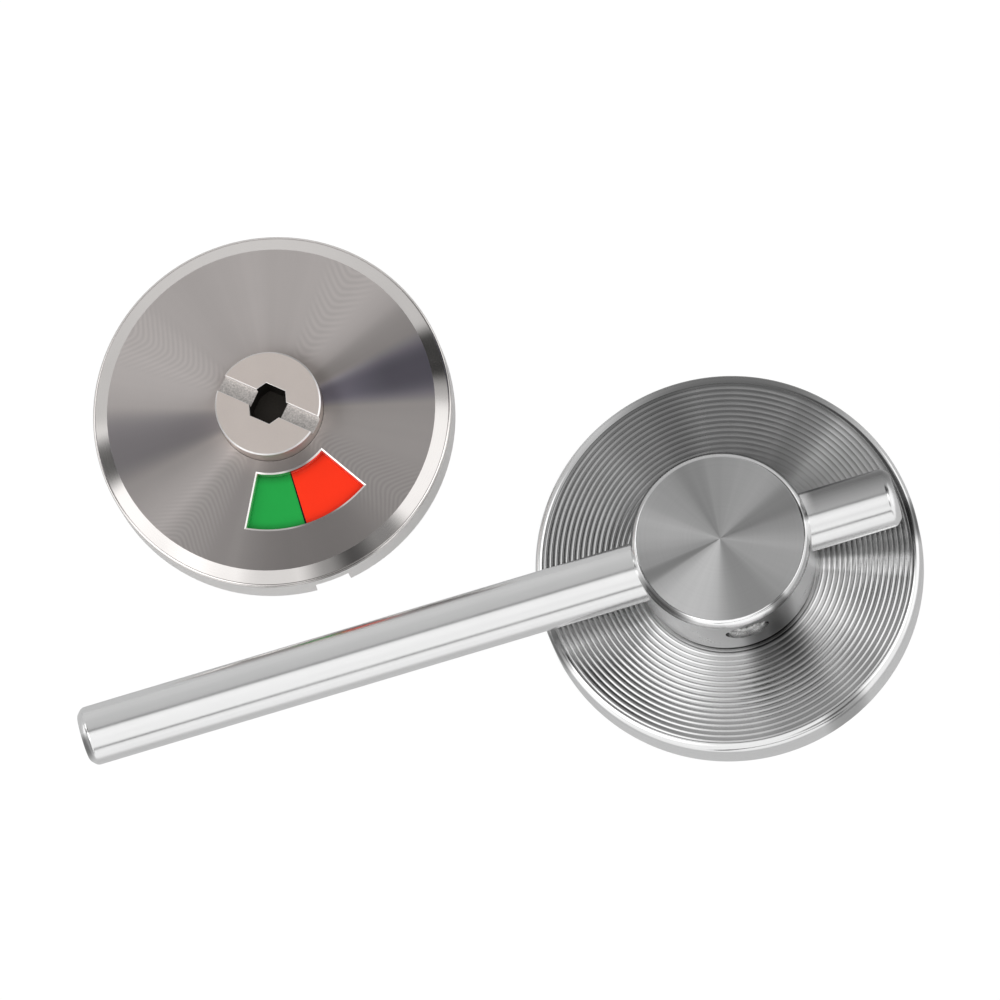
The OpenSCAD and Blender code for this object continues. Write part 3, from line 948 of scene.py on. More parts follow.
def lying(mesh: BMesh, height: float, heading: float) -> BMesh:
    """Lay an upright piece along a heading.

    Args:
        mesh: A mesh about the Z axis.
        height: Height of its axis once it lies.
        heading: Direction of what was up.

    Returns:
        The same mesh.
    """
    place = Axis(z=height, heading=heading).matrix() @ Matrix.Rotation(math.radians(90), 4, "Y")
    return moved(mesh, place)


def ease(mesh: BMesh, width: float, sharper_than: float = 40.0, segments: int = 2) -> BMesh:
    """Round the sharp edges of a mesh.

    Args:
        mesh: The mesh.
        width: Width of the rounding.
        sharper_than: Least angle between two faces at an edge that is rounded.
        segments: Faces across the rounding.

    Returns:
        The same mesh.
    """
    limit = math.radians(sharper_than)
    edges = [e for e in mesh.edges if e.is_manifold and e.calc_face_angle() > limit]
    bevel(mesh, edges, width, segments)
    return mesh


def rim_edges(mesh: BMesh, height: float) -> list[BMEdge]:
    """Edges at or above a height where two faces meet at a corner.

    Args:
        mesh: The mesh.
        height: Least height of the edges.

    Returns:
        The edges.
    """
    least = height * MM - WELD
    return [
        edge for edge in mesh.edges
        if edge.is_manifold and min(v.co.z for v in edge.verts) > least and edge.calc_face_angle() > CORNER
    ]


def bevel(mesh: BMesh, edges: list[BMEdge], width: float, segments: int = 2) -> None:
    """Bevel the given edges.

    Args:
        mesh: The mesh.
        edges: The edges.
        width: Width of the bevel.
        segments: Faces across it.
    """
    bmesh.ops.bevel(
        mesh, geom=edges, offset=width * MM, offset_type="OFFSET", segments=segments, profile=0.5,
        affect="EDGES", material=-1, clamp_overlap=True, loop_slide=True)


def as_object(mesh: BMesh, name: str) -> bpy.types.Object:
    """Make a scene object of a mesh, which is freed.

    Args:
        mesh: The mesh.
        name: The object's name.

    Returns:
        The object, at the origin.
    """
    data = bpy.data.meshes.new(name)
    mesh.to_mesh(data)
    mesh.free()
    made = bpy.data.objects.new(name, data)
    bpy.context.scene.collection.objects.link(made)
    return made


def evaluated(made: bpy.types.Object) -> bpy.types.Mesh:
    """The object's mesh with its modifiers applied."""
    return bpy.data.meshes.new_from_object(made.evaluated_get(bpy.context.evaluated_depsgraph_get()))


def combine(mesh: BMesh, how: Join, *tools: BMesh) -> BMesh:
    """Cut tools from a solid, add them to it, or keep what it has in common with them.

    Args:
        mesh: The solid, which is freed.
        how: What is done with the tools.
        tools: The other solids, which are freed too.

    Returns:
        The new solid.
    """
    work = as_object(mesh, "work")
    others = [as_object(tool, "tool") for tool in tools]
    for other in others:
        step = work.modifiers.new("join", "BOOLEAN")
        step.operation = how.value
        step.solver = "MANIFOLD"
        step.object = other
    result = evaluated(work)
    for used in (work, *others):
        bpy.data.meshes.remove(used.data)
    made = bmesh.new()
    made.from_mesh(result)
    bpy.data.meshes.remove(result)
    bmesh.ops.remove_doubles(made, verts=made.verts, dist=WELD)
    return made


def zone(mesh: BMesh, index: int, test: Callable[[BMFace], bool]) -> None:
    """Give the faces that pass a test another of the piece's finishes.

    Args:
        mesh: The mesh.
        index: Number of the finish in the piece's list.
        test: Says whether a face belongs to the zone.
    """
    for face in mesh.faces:
        if test(face):
            face.material_index = index


def settle(
    mesh: BMesh, node: str, finishes: Iterable[bpy.types.Material], sharp: float = 30.0,
) -> bpy.types.Object:
    """Turn a mesh into the finished piece that stands for a CAD node.

    Args:
        mesh: The mesh in its place.
        node: The CAD node.
        finishes: The piece's materials.
        sharp: Least angle at which an edge stays sharp.

    Returns:
        The finished piece.
    """
    made = as_object(mesh, f"finished_{node}")
    data = made.data
    for finish in finishes:
        data.materials.append(finish)
    data.polygons.foreach_set("use_smooth", [True] * len(data.polygons))
    data.set_sharp_from_angle(angle=math.radians(sharp))
    step = made.modifiers.new("normals", "WEIGHTED_NORMAL")
    step.keep_sharp = True
    weighted = evaluated(made)
    made.modifiers.clear()
    made.data = weighted
    bpy.data.meshes.remove(data)
    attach(made, BODY_OF[node])
    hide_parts(node)
    LOG.info("%s: %d faces on %s", made.name, len(weighted.polygons), BODY_OF[node])
    return made


def true_round(made: bpy.types.Object, inner: float, outer: float) -> None:
    """Turn the shading normals of a piece's outer round surfaces straight away from the lever axis.

    Args:
        made: The finished piece.
        inner: Least radius of the faces that are treated.
        outer: Radius of its upright wall.
    """
    data = made.data
    normals = [corner.vector.copy() for corner in data.corner_normals]
    for face in data.polygons:
        radii = [data.vertices[spot].co.xy.length / MM for spot in face.vertices]
        on_wall = all(abs(radius - outer) < SKIN for radius in radii)
        out = Vector(face.center.xy).normalized()
        if not on_wall and (min(radii) < inner - SKIN or Vector(face.normal.xy).dot(out) < SLOPE):
            continue
        for corner in face.loop_indices:
            away = data.vertices[data.loops[corner].vertex_index].co.xy.normalized()
            lift = 0.0 if on_wall else normals[corner].z
            flat = away * math.sqrt(1 - lift * lift)
            normals[corner] = Vector((flat.x, flat.y, lift))
    data.normals_split_custom_set(normals)


@dataclass(frozen=True)
class RoseInside:
    """The hollow back of a rose: its wall, the groove for its clip and its underside."""

    wall: float = 1.5
    clip_low: float = 1.17
    clip_high: float = 2.03
    clip_bite: float = 0.33
    foot_ease: float = 0.15

    def profile(self, radius: float, under: float, stops: Sequence[float]) -> list[Point]:
        """Points from the foot of the outer wall round to the hole.

        Args:
            radius: Outer radius of the rose.
            under: Height of the underside.
            stops: Radii on the underside, outside first and the hole last.

        Returns:
            The points.
        """
        inner = radius - self.wall
        groove = inner + self.clip_bite
        return [
            (radius, self.foot_ease), (radius - self.foot_ease, 0), (inner, 0),
            (inner, self.clip_low), (groove, self.clip_low),
            (groove, self.clip_high), (inner, self.clip_high), (inner, under),
            *[(stop, under) for stop in stops],
        ]


@dataclass
class LeverRose:
    """Round cover of the lever half, with turned grooves and a rounded edge."""

    hole: float = 7.8
    front: float = 1.2
    edge: float = 1.2
    edge_chords: int = 10
    groove_start: float = 12.3
    groove_pitch: float = 0.73
    groove_depth: float = 0.075
    groove_chords: int = 10
    groove_crest: float = 0.6
    groove_bend: float = 1.6
    steps: int = 320

    def _grooves(self, end: float, top: float) -> list[Point]:
        """Points of the scalloped grooves.

        Args:
            end: Radius before which the last groove ends.
            top: Height of the face.

        Returns:
            The points, from the hub outwards.
        """
        count = int((end - self.groove_start) / self.groove_pitch)
        points = []
        for step in range(count * self.groove_chords + 1):
            along = step % self.groove_chords / self.groove_chords
            rising = along < self.groove_crest
            span = self.groove_crest if rising else 1 - self.groove_crest
            dip = self.groove_depth * (abs(along - self.groove_crest) / span) ** self.groove_bend
            points.append((self.groove_start + step * self.groove_pitch / self.groove_chords, top - dip))
        return points

    def build(self) -> None:
        """Build and dress the rose."""
        size = Extent.of("lever_rose")
        land = size.radius - self.edge
        mesh = turn([
            (self.hole, size.top),
            *self._grooves(land, size.top),
            *arc((land, size.top - self.edge), (self.edge, self.edge), 90, 0, self.edge_chords),
            *RoseInside().profile(size.radius, size.top - self.front, [self.hole]),
        ], self.steps)
        zone(mesh, 1, lambda face: Vector(face.calc_center_median().xy).length > land * MM)
        finishes = [GROOVED_STEEL.material(LEVER_AXIS), ROSE_EDGE.material(LEVER_AXIS)]
        settle(mesh, "lever_rose", finishes)


@dataclass
class LeverHub:
    """Turned hub with its neck, the bar through it and the screw that holds the bar."""

    heading: float = 16.1
    bevel_w: float = 0.6
    bevel_h: float = 1.1
    foot: float = 7.3
    neck: float = 7.5
    clip_groove: tuple[float, float, float] = (6.9, 0.57, 1.23)
    foot_ease: float = 0.2
    rim_ease: float = 0.3
    rim_faces: int = 4
    bar_height: float = 15.4
    bar_r: float = 4.0
    bar_reach: float = 89.0
    bar_tail: float = 24.0
    bar_chamfer: float = 0.9
    bar_ease: float = 0.35
    bar_sharp: float = 30.0
    bar_faces: int = 3
    bar_end_lean: float = 0.35
    bar_bore: float = 4.03
    screw_bore: float = 2.98
    bore_lean: float = 0.5
    screw_r: float = 2.95
    screw_tip: float = 4.03
    screw_end: float = 10.0
    screw_ease: float = 0.3
    hex_across: float = 3.0
    hex_depth: float = 2.5
    hex_mouth: float = 0.25
    hex_play: float = 0.1
    socket: float = 5.1
    socket_top: float = 9.4
    pin_bore: float = 0.78
    pin_height: float = 3.45
    steps: int = 256
    bar_steps: int = 128
    screw_steps: int = 64
    mouth_steps: int = 48

    def build(self) -> None:
        """Build and dress the hub."""
        size = Extent.of("lever_hub")
        radius, top = size.radius, size.top
        groove_r, groove_low, groove_high = self.clip_groove
        shelf = top - self.bevel_h
        mesh = turn([
            (0, top), (radius - self.bevel_w, top), (radius, shelf), (radius, self.foot + self.foot_ease),
            (radius - self.foot_ease, self.foot), (self.neck, self.foot),
            (self.neck, groove_high), (groove_r, groove_high), (groove_r, groove_low),
            (self.neck, groove_low), (self.neck, size.bottom), (0, size.bottom),
        ], self.steps)
        bevel(mesh, rim_edges(mesh, top), self.rim_ease, self.rim_faces)
        half, far = self.socket / 2, radius + OVER
        mesh = combine(
            mesh, Join.CUT,
            lying(rod(self.bar_bore, -far, far), self.bar_height, self.heading),
            lying(rod(self.screw_bore, 0, far, self.screw_steps), self.bar_height, self.heading - 90),
            lying(rod(self.pin_bore, -radius, radius, PIN_STEPS), self.pin_height, 0),
            block((-half, -half, -OVER), (half, half, self.socket_top)))
        zone(mesh, 1, lambda face: face.normal.z > SLOPE and face.calc_center_median().z > shelf * MM)
        zone(mesh, 2, lambda face: face.normal.z > LEVEL and face.calc_center_median().z > (top - SKIN) * MM)
        zone(mesh, 3, self._in_screw_bore)
        finishes = [
            finish.material(LEVER_AXIS) for finish in (TURNED_STEEL, HUB_BEVEL, FACED_STEEL, POLISHED_EDGE)]
        true_round(settle(mesh, "lever_hub", finishes), radius - self.bevel_w - self.rim_ease, radius)
        self._bar()
        self._screw()

    def _in_screw_bore(self, face: BMFace) -> bool:
        """Whether a face of the hub is a wall of the screw's hole.

        Args:
            face: A face of the hub.

        Returns:
            True for a wall of the hole.
        """
        towards = math.radians(self.heading - 90)
        way = Vector((math.cos(towards), math.sin(towards), 0))
        from_axis = face.calc_center_median() - Vector((0, 0, self.bar_height * MM))
        along = from_axis.dot(way)
        inside = (from_axis - way * along).length < self.screw_bore * MM + WELD
        return inside and along > self.bar_bore * MM and abs(face.normal.dot(way)) < self.bore_lean

    def _bar(self) -> None:
        """Build the bar."""
        radius, reach, tail, chamfer = self.bar_r, self.bar_reach, self.bar_tail, self.bar_chamfer
        mesh = turn([
            (0, -reach), (radius - chamfer, -reach), (radius, chamfer - reach),
            (radius, tail - chamfer), (radius - chamfer, tail), (0, tail),
        ], self.bar_steps)
        ease(mesh, self.bar_ease, self.bar_sharp, self.bar_faces)
        zone(mesh, 1, lambda face: abs(face.normal.z) > self.bar_end_lean and face.calc_center_median().z < 0)
        axis = Axis(z=self.bar_height, heading=self.heading)
        finishes = [GROUND_STEEL.material(axis), BAR_END.material(axis)]
        settle(lying(mesh, self.bar_height, self.heading), "lever_bar", finishes)

    def _screw(self) -> None:
        """Build the screw that holds the bar."""
        end, inner = self.screw_end, self.hex_across / 2
        low, high = end - self.hex_mouth, end + self.hex_mouth
        mesh = combine(
            ease(rod(self.screw_r, self.screw_tip, end, self.screw_steps), self.screw_ease), Join.CUT,
            hexagon(self.hex_across, end - self.hex_depth, end + OVER),
            turn([
                (0, low), (inner + self.hex_play, low), (inner + 2 * self.hex_mouth, high), (0, high),
            ], self.mouth_steps))
        lying(mesh, self.bar_height, self.heading - 90)
        settle(mesh, "lever_grub_screw", [SCREW_STEEL.material(LEVER_AXIS)])


@dataclass
class ThrustWasher:
    """Dark washer under the hub."""

    inner: float = 7.8
    edge: float = 0.1
    steps: int = 192

    def build(self) -> None:
        """Build and dress the washer."""
        size = Extent.of("lever_thrust_washer")
        mesh = ease(ring(self.inner, size.radius, size, self.steps), self.edge)
        settle(mesh, "lever_thrust_washer", [BLACK_NYLON.material(LEVER_AXIS)])


@dataclass
class Spindle:
    """Square bar through the door and the pin that holds it in the neck."""

    pin_bore: float = LeverHub.pin_bore
    bore_end: float = 10.0
    edge: float = 0.35
    pin_ease: float = 0.2

    def build(self) -> None:
        """Build and dress the spindle and its pin."""
        size, pin = Extent.of("spindle"), Extent.of("spindle_pin")
        height = (pin.low.z + pin.high.z) / 2
        mesh = ease(block(size.low, size.high), self.edge, segments=3)
        mesh = combine(mesh, Join.CUT, lying(
            rod(self.pin_bore, -self.bore_end, self.bore_end, PIN_STEPS), height, 0))
        settle(mesh, "spindle", [DRAWN_STEEL.material(LEVER_AXIS)])
        thick = (pin.high.z - pin.low.z) / 2
        mesh = lying(ease(rod(thick, pin.low.x, pin.high.x, PIN_STEPS), self.pin_ease), height, 0)
        settle(mesh, "spindle_pin", [SPRING_STEEL.material(LEVER_AXIS)])


@dataclass
class Bearing:
    """Bush, washer, conical spring and circlip of one half."""

    half: str
    shaft: float
    axis: Axis
    run_gap: float = 0.05
    wall: float = 2.0
    flange: float = 0.5
    loose: float = 0.3
    bite: float = 0.57
    sheet: float = 0.25
    clip_open: float = 50.0
    lug: float = 0.8
    lug_hole: float = 0.45
    bush_edge: float = 0.1
    washer_edge: float = 0.08
    spring_edge: float = 0.05
    steps: int = 128
    clip_steps: int = 112
    lug_steps: int = 32
    hole_steps: int = 24

    def build(self) -> None:
        """Build and dress the four pieces."""
        self._bush()
        self._washer()
        self._spring()
        self._circlip()

    def _settle(self, mesh: BMesh, piece: str, finish: Metal) -> None:
        """Move a piece to its axis and dress it."""
        settle(moved(mesh, self.axis.matrix()), f"{self.half}_{piece}", [finish.material(self.axis)])

    def _bush(self) -> None:
        """Build the flanged bush."""
        size = Extent.of(f"{self.half}_bush")
        bore, shoulder = self.shaft + self.run_gap, size.top - self.flange
        wall = bore + self.wall
        mesh = turn([
            (bore, size.bottom), (wall, size.bottom), (wall, shoulder),
            (size.radius, shoulder), (size.radius, size.top), (bore, size.top),
        ], self.steps)
        self._settle(ease(mesh, self.bush_edge), "bush", BUSH_BRASS)

    def _washer(self) -> None:
        """Build the flat washer."""
        size = Extent.of(f"{self.half}_back_washer")
        mesh = ring(self.shaft + self.loose, size.radius, size, self.steps)
        finish = ZINC_PLATE if self.half == "lever" else BOLT_STEEL
        self._settle(ease(mesh, self.washer_edge), "back_washer", finish)

    def _spring(self) -> None:
        """Build the conical spring."""
        size = Extent.of(f"{self.half}_disc_spring")
        bore = self.shaft + self.loose
        mesh = turn([
            (bore, size.bottom), (size.radius, size.top - self.sheet), (size.radius, size.top),
            (bore, size.bottom + self.sheet),
        ], self.steps)
        self._settle(ease(mesh, self.spring_edge), "disc_spring", SPRING_STEEL)

    def _circlip(self) -> None:
        """Build the circlip with its two lugs."""
        size = Extent.of(f"{self.half}_circlip")
        inner, outer = self.shaft - self.bite, self.shaft + 2 * self.lug
        mesh = ring(inner, outer, size, self.clip_steps, self.clip_open / 2, FULL_TURN - self.clip_open)
        places = [
            Matrix.Rotation(math.radians(side * self.clip_open / 2), 4, "Z")
            @ Matrix.Translation(((self.shaft + self.lug) * MM, 0, 0))
            for side in (-1, 1)
        ]
        low, high = size.bottom, size.top
        mesh = combine(mesh, Join.ADD, *[moved(rod(self.lug, low, high, self.lug_steps), p) for p in places])
        low, high = low - OVER, high + OVER
        mesh = combine(mesh, Join.CUT, *[moved(rod(self.lug_hole, low, high, self.hole_steps), p) for p in places])
        self._settle(mesh, "circlip", SPRING_STEEL)


@dataclass
class BasePlate:
    """Plate behind a rose and the split ring that holds the rose on it."""

    half: str
    axis: Axis
    shaft: float
    clip_dir: float = 90.0
    bush_fit: float = 0.03
    recess_gap: float = 4.2
    recess_h: float = 2.2
    edge: float = 0.12
    clip_w: float = 0.9
    clip_open: float = 30.0
    clip_fit: float = 0.03
    clip_bite: float = 0.3
    clip_edge: float = 0.2
    steps: int = 192
    clip_steps: int = 165

    def build(self, holes: Sequence[BMesh]) -> None:
        """Build and dress the plate and the ring.

        Args:
            holes: Solids to cut from the plate, about the half's axis.
        """
        size, clip = Extent.of(f"{self.half}_base_plate"), Extent.of(f"{self.half}_rose_clip")
        low, high = clip.bottom - self.clip_fit, clip.top + self.clip_fit
        groove = size.radius + self.clip_bite - self.clip_w
        bore = self.shaft + Bearing.run_gap + Bearing.wall + self.bush_fit
        recess = self.shaft + self.recess_gap
        mesh = turn([
            (recess, 0), (size.radius, 0), (size.radius, low), (groove, low), (groove, high),
            (size.radius, high), (size.radius, size.top), (bore, size.top),
            (bore, self.recess_h), (recess, self.recess_h),
        ], self.steps)
        ease(mesh, self.edge)
        mesh = moved(combine(mesh, Join.CUT, *holes), self.axis.matrix())
        settle(mesh, f"{self.half}_base_plate", [ZINC_PLATE.material(self.axis)])
        start, sweep = self.clip_dir + self.clip_open / 2, FULL_TURN - self.clip_open
        wire = ring(clip.radius - self.clip_w, clip.radius, clip, self.clip_steps, start, sweep)
        moved(ease(wire, self.clip_edge), self.axis.matrix())
        settle(wire, f"{self.half}_rose_clip", [SPRING_STEEL.material(self.axis)])


@dataclass
class Fixings:
    """The two through bolts of the lever half and the two tapped pillars of the indicator half."""

    axis: Axis
    circle: float = 38.0
    shank: float = 2.25
    head: float = 3.75
    thread: float = 2.0
    pitch: float = 0.7
    thread_depth: float = 0.42
    plain: float = 0.4
    run_out: float = 0.3
    hex_across: float = 2.5
    hex_depth: float = 1.4
    fit: float = 0.03
    tip: float = 0.6
    pillar: float = 2.75
    pillar_head: float = 3.2
    pillar_head_h: float = 0.74
    pillar_edge: float = 0.3
    head_edge: float = 0.1
    seat_depth: float = 0.8
    tapping: float = 1.65
    tap_depth: float = 0.2
    tap_start: float = 0.3
    tap_mouth: float = 0.35
    roof: float = 1.2
    steps: int = 64
    bolt_steps: int = 48
    thread_steps: int = 32

    def places(self) -> list[Matrix]:
        """The places of the two fixings of one half, about its axis."""
        return [Matrix.Translation((side * self.circle / 2 * MM, 0, 0)) for side in (-1, 1)]

    def bolt_holes(self, top: float) -> list[BMesh]:
        """Countersunk holes in the lever half's plate.

        Args:
            top: Height of the plate's upper face.

        Returns:
            One solid for each bolt.
        """
        hole = self.shank + self.fit
        cone = self.head - self.shank
        high = top + OVER
        profile = [(0, -OVER), (hole, -OVER), (hole, top - cone), (hole + cone + OVER, high), (0, high)]
        return [moved(turn(profile, self.steps), p) for p in self.places()]

    def pillar_holes(self, top: float) -> list[BMesh]:
        """Stepped holes in the indicator half's plate.

        Args:
            top: Height of the plate's upper face.

        Returns:
            One solid for each pillar.
        """
        hole, seat = self.pillar + self.fit, self.pillar_head + self.fit
        step, high = top - self.seat_depth, top + OVER
        profile = [(0, -OVER), (hole, -OVER), (hole, step), (seat, step), (seat, high), (0, high)]
        return [moved(turn(profile, self.steps), p) for p in self.places()]

    def _bolt(self, top: float, bottom: float) -> BMesh:
        """One bolt about the Z axis: head with its socket, plain shank, thread and tip.

        Args:
            top: Height of its head.
            bottom: Height of its tip.

        Returns:
            The mesh.
        """
        root = self.thread - self.thread_depth
        cone = self.head - self.shank
        start = bottom + self.tip
        body = turn([
            (0, top), (self.head, top), (self.shank, top - cone), (self.shank, -self.plain),
            (root, -self.plain - self.run_out), (root, start), (root - self.tip / 2, bottom), (0, bottom),
        ], self.bolt_steps)
        turns = int((-self.plain - start) / self.pitch) - 1
        zigzag = [
            (self.thread if i % 2 else root - SKIN, start + i * self.pitch / 2) for i in range(2 * turns + 1)
        ]
        ridge = turn(zigzag, self.thread_steps, climb=self.pitch)
        socket = hexagon(self.hex_across, top - self.hex_depth, top + OVER)
        return combine(combine(body, Join.ADD, ridge), Join.CUT, socket)

    def _pillar(self, top: float, bottom: float) -> BMesh:
        """One pillar about the Z axis, with its head and its tapped hole.

        Args:
            top: Height of its head.
            bottom: Height of its open end.

        Returns:
            The mesh.
        """
        radius, head = self.pillar, self.pillar_head
        seat = top - self.pillar_head_h
        end = top - self.roof + self.fit
        crests = 2 * int((end - bottom) / self.pitch) - 1
        thread = [
            (self.tapping + (self.tap_depth if i % 2 else 0.0), end - self.tap_start - i * self.pitch / 2)
            for i in range(crests)
        ]
        outside = [
            (self.tapping + self.tap_mouth, bottom), (radius - self.pillar_edge, bottom),
            (radius, bottom + self.pillar_edge), (radius, seat), (head, seat),
            (head, top - self.head_edge), (head - self.head_edge, top), (0, top),
        ]
        return turn([(0, end), *thread, *outside], self.steps)

    def build(self) -> None:
        """Build and dress the bolts and the pillars."""
        for node, make, axis in (
            ("fixing_bolts", self._bolt, LEVER_AXIS), ("threaded_pillars", self._pillar, self.axis),
        ):
            size = Extent.of(node)
            pair = bmesh.new()
            for place in self.places():
                one = as_object(moved(make(size.top, size.bottom), axis.matrix() @ place), "one")
                pair.from_mesh(one.data)
                bpy.data.meshes.remove(one.data)
            settle(pair, node, [BOLT_STEEL.material(axis)])


@dataclass
class IndicatorRose:
    """Round cover of the indicator half, with its bevel, window and pry notch."""

    axis: Axis
    hole: float = 7.25
    front: float = 1.0
    bevel_w: float = 1.7
    bevel_h: float = 0.9
    round_r: float = 0.4
    round_chords: int = 6
    window_in: float = 9.2
    window_out: float = 16.6
    window_span: float = 60.0
    window_dir: float = -70.5
    window_bevel: float = 0.34
    notch_w: float = 4.8
    notch_h: float = 3.2
    upright: float = 0.1
    sharp: float = 20.0
    steps: int = 120

    def _open_window(self, mesh: BMesh, top: float) -> None:
        """Open the window and bevel its rim.

        Args:
            mesh: The turned rose, about the Z axis.
            top: Height of its face.
        """
        half = math.radians(self.window_span / 2)
        middle = Vector((math.cos(math.radians(self.window_dir)), math.sin(math.radians(self.window_dir))))

        def in_window(face: BMFace) -> bool:
            """Whether a face of the front or of its underside lies in the window.

            Args:
                face: A face of the rose.

            Returns:
                True for a face in the window.
            """
            centre = face.calc_center_median()
            flat = abs(face.normal.z) > FLAT and centre.z > (top - self.front) * MM - WELD
            between = self.window_in * MM < centre.xy.length < self.window_out * MM
            return flat and between and centre.xy.angle(middle) < half

        bmesh.ops.delete(mesh, geom=[f for f in mesh.faces if in_window(f)], context="FACES")
        bmesh.ops.bridge_loops(mesh, edges=[e for e in mesh.edges if e.is_boundary])
        bmesh.ops.recalc_face_normals(mesh, faces=mesh.faces)
        least, most = (self.window_in - self.window_bevel) * MM, (self.window_out + self.window_bevel) * MM
        rim = [e for e in rim_edges(mesh, top) if least < e.verts[0].co.xy.length < most]
        bevel(mesh, rim, self.window_bevel)

    def build(self) -> None:
        """Build and dress the rose."""
        size = Extent.of("indicator_rose")
        radius, top = size.radius, size.top
        shoulder = radius - self.round_r
        face_r = shoulder - self.bevel_w
        mesh = turn([
            (self.hole, top), (self.window_in, top), (self.window_out, top), (face_r, top),
            *arc((shoulder, top - self.bevel_h - self.round_r), (self.round_r, self.round_r), 90, 0,
                 self.round_chords),
            *RoseInside().profile(radius, top - self.front, [self.window_out, self.window_in, self.hole]),
        ], self.steps, self.window_dir - self.window_span / 2)
        self._open_window(mesh, top)
        inner, side = radius - RoseInside.wall - OVER, self.notch_w / 2
        notch = block((inner, -side, -OVER), (radius + OVER, side, self.notch_h))
        mesh = combine(mesh, Join.CUT, moved(notch, Axis(heading=self.window_dir).matrix()))
        zone(mesh, 1, lambda face: self.upright < face.normal.z < FLAT)
        zone(mesh, 2, lambda face: face.normal.z <= self.upright)
        moved(mesh, self.axis.matrix())
        finishes = [finish.material(self.axis) for finish in (SATIN_FACE, SATIN_BEVEL, SATIN_WALL)]
        settle(mesh, "indicator_rose", finishes, self.sharp)


@dataclass
class ReleaseTurn:
    """Boss with its coin slot and hex hole, its collar, the drive for the disc and the journal."""

    axis: Axis
    boss: float = 7.2
    boss_bevel: float = 0.2
    collar_low: float = 4.85
    collar_top: float = 5.25
    drive: float = 6.5
    drive_flat: float = 5.8
    drive_low: float = 4.05
    journal: float = 5.5
    clip_groove: tuple[float, float, float] = (4.9, 0.57, 1.23)
    slot_dir: float = -25.0
    slot_w: float = 2.3
    slot_depth: float = 1.4
    hex_across: float = 5.0
    hex_depth: float = 4.5
    mouth: float = 0.17
    socket: float = 5.1
    socket_top: float = 4.4
    lip: float = 0.3
    floor_slack: float = 0.05
    sharp: float = 20.0
    steps: int = 192

    def build(self) -> None:
        """Build and dress the release turn."""
        size = Extent.of("release_turn")
        top = size.top
        groove_r, groove_low, groove_high = self.clip_groove
        mesh = turn([
            (0, top), (self.boss - self.boss_bevel, top), (self.boss, top - self.boss_bevel),
            (self.boss, self.collar_top), (size.radius, self.collar_top), (size.radius, self.collar_low),
            (self.drive, self.collar_low), (self.drive, self.drive_low), (self.journal, self.drive_low),
            (self.journal, groove_high), (groove_r, groove_high), (groove_r, groove_low),
            (self.journal, groove_low), (self.journal, size.bottom), (0, size.bottom),
        ], self.steps)
        mesh = combine(mesh, Join.CUT, *self._openings(top))
        bevel(mesh, rim_edges(mesh, top), self.mouth)
        moved(mesh, Axis(heading=self.slot_dir).matrix())
        half = self.socket / 2
        mesh = combine(mesh, Join.CUT, block((-half, -half, -OVER), (half, half, self.socket_top)))
        self._dress(mesh, top)

    def _openings(self, top: float) -> list[BMesh]:
        """Solids to cut from the turned piece, with the slot along X.

        Args:
            top: Height of the boss.

        Returns:
            The flats of the drive, the slot and the hex hole.
        """
        far, side = 2 * self.boss, self.slot_w / 2
        low, high = self.drive_low - SKIN, self.collar_low + SKIN
        reach = corner_radius(self.hex_across) - side * math.tan(HALF_SIDE)
        return [
            block((-far, self.drive_flat, low), (far, far, high)),
            block((-far, -far, low), (far, -self.drive_flat, high)),
            block((-far, -side, top - self.slot_depth), (far, side, top + OVER)),
            combine(
                hexagon(self.hex_across, top - self.hex_depth, top + OVER), Join.COMMON,
                block((-reach, -far, 0), (reach, far, top + 2 * OVER))),
        ]

    def _dress(self, mesh: BMesh, top: float) -> None:
        """Give the mesh its finishes and settle it.

        Args:
            mesh: The finished mesh, about the Z axis.
            top: Height of the boss.
        """
        floor = top - self.slot_depth
        bore = corner_radius(self.hex_across) * MM
        heading = math.radians(self.slot_dir)
        across = Vector((-math.sin(heading), math.cos(heading), 0))

        def in_bore(face: BMFace) -> bool:
            """Whether a face is a wall or the floor of the hex hole.

            Args:
                face: A face of the release turn.

            Returns:
                True for a face of the hole.
            """
            centre = face.calc_center_median()
            low = (top - self.hex_depth) * MM - WELD
            return low < centre.z < (top - self.mouth) * MM and centre.xy.length < bore

        def on_lip(face: BMFace) -> bool:
            """Whether a face is a side wall of the slot or part of a bevelled rim.

            Args:
                face: A face of the release turn.

            Returns:
                True for a face with the painted highlight.
            """
            centre = face.calc_center_median()
            near = abs(centre.dot(across)) < (self.slot_w / 2 + self.mouth) * MM
            wall = near and centre.z > floor * MM and abs(face.normal.dot(across)) > LEVEL
            return wall or (SLOPE < face.normal.z < FLAT and centre.z > (top - self.lip) * MM)

        def on_floor(face: BMFace) -> bool:
            """Whether a face is the floor of the slot.

            Args:
                face: A face of the release turn.

            Returns:
                True for the floor.
            """
            height = face.calc_center_median().z / MM
            return face.normal.z > LEVEL and abs(height - floor) < self.floor_slack

        for index, test in ((2, in_bore), (3, on_lip), (1, on_floor)):
            zone(mesh, index, test)
        moved(mesh, self.axis.matrix())
        finishes = [finish.material(self.axis) for finish in (BOSS_SATIN, SLOT_FLOOR, BORE_PAINTED_DARK, LIP_PAINTED_BRIGHT)]
        settle(mesh, "release_turn", finishes, self.sharp)


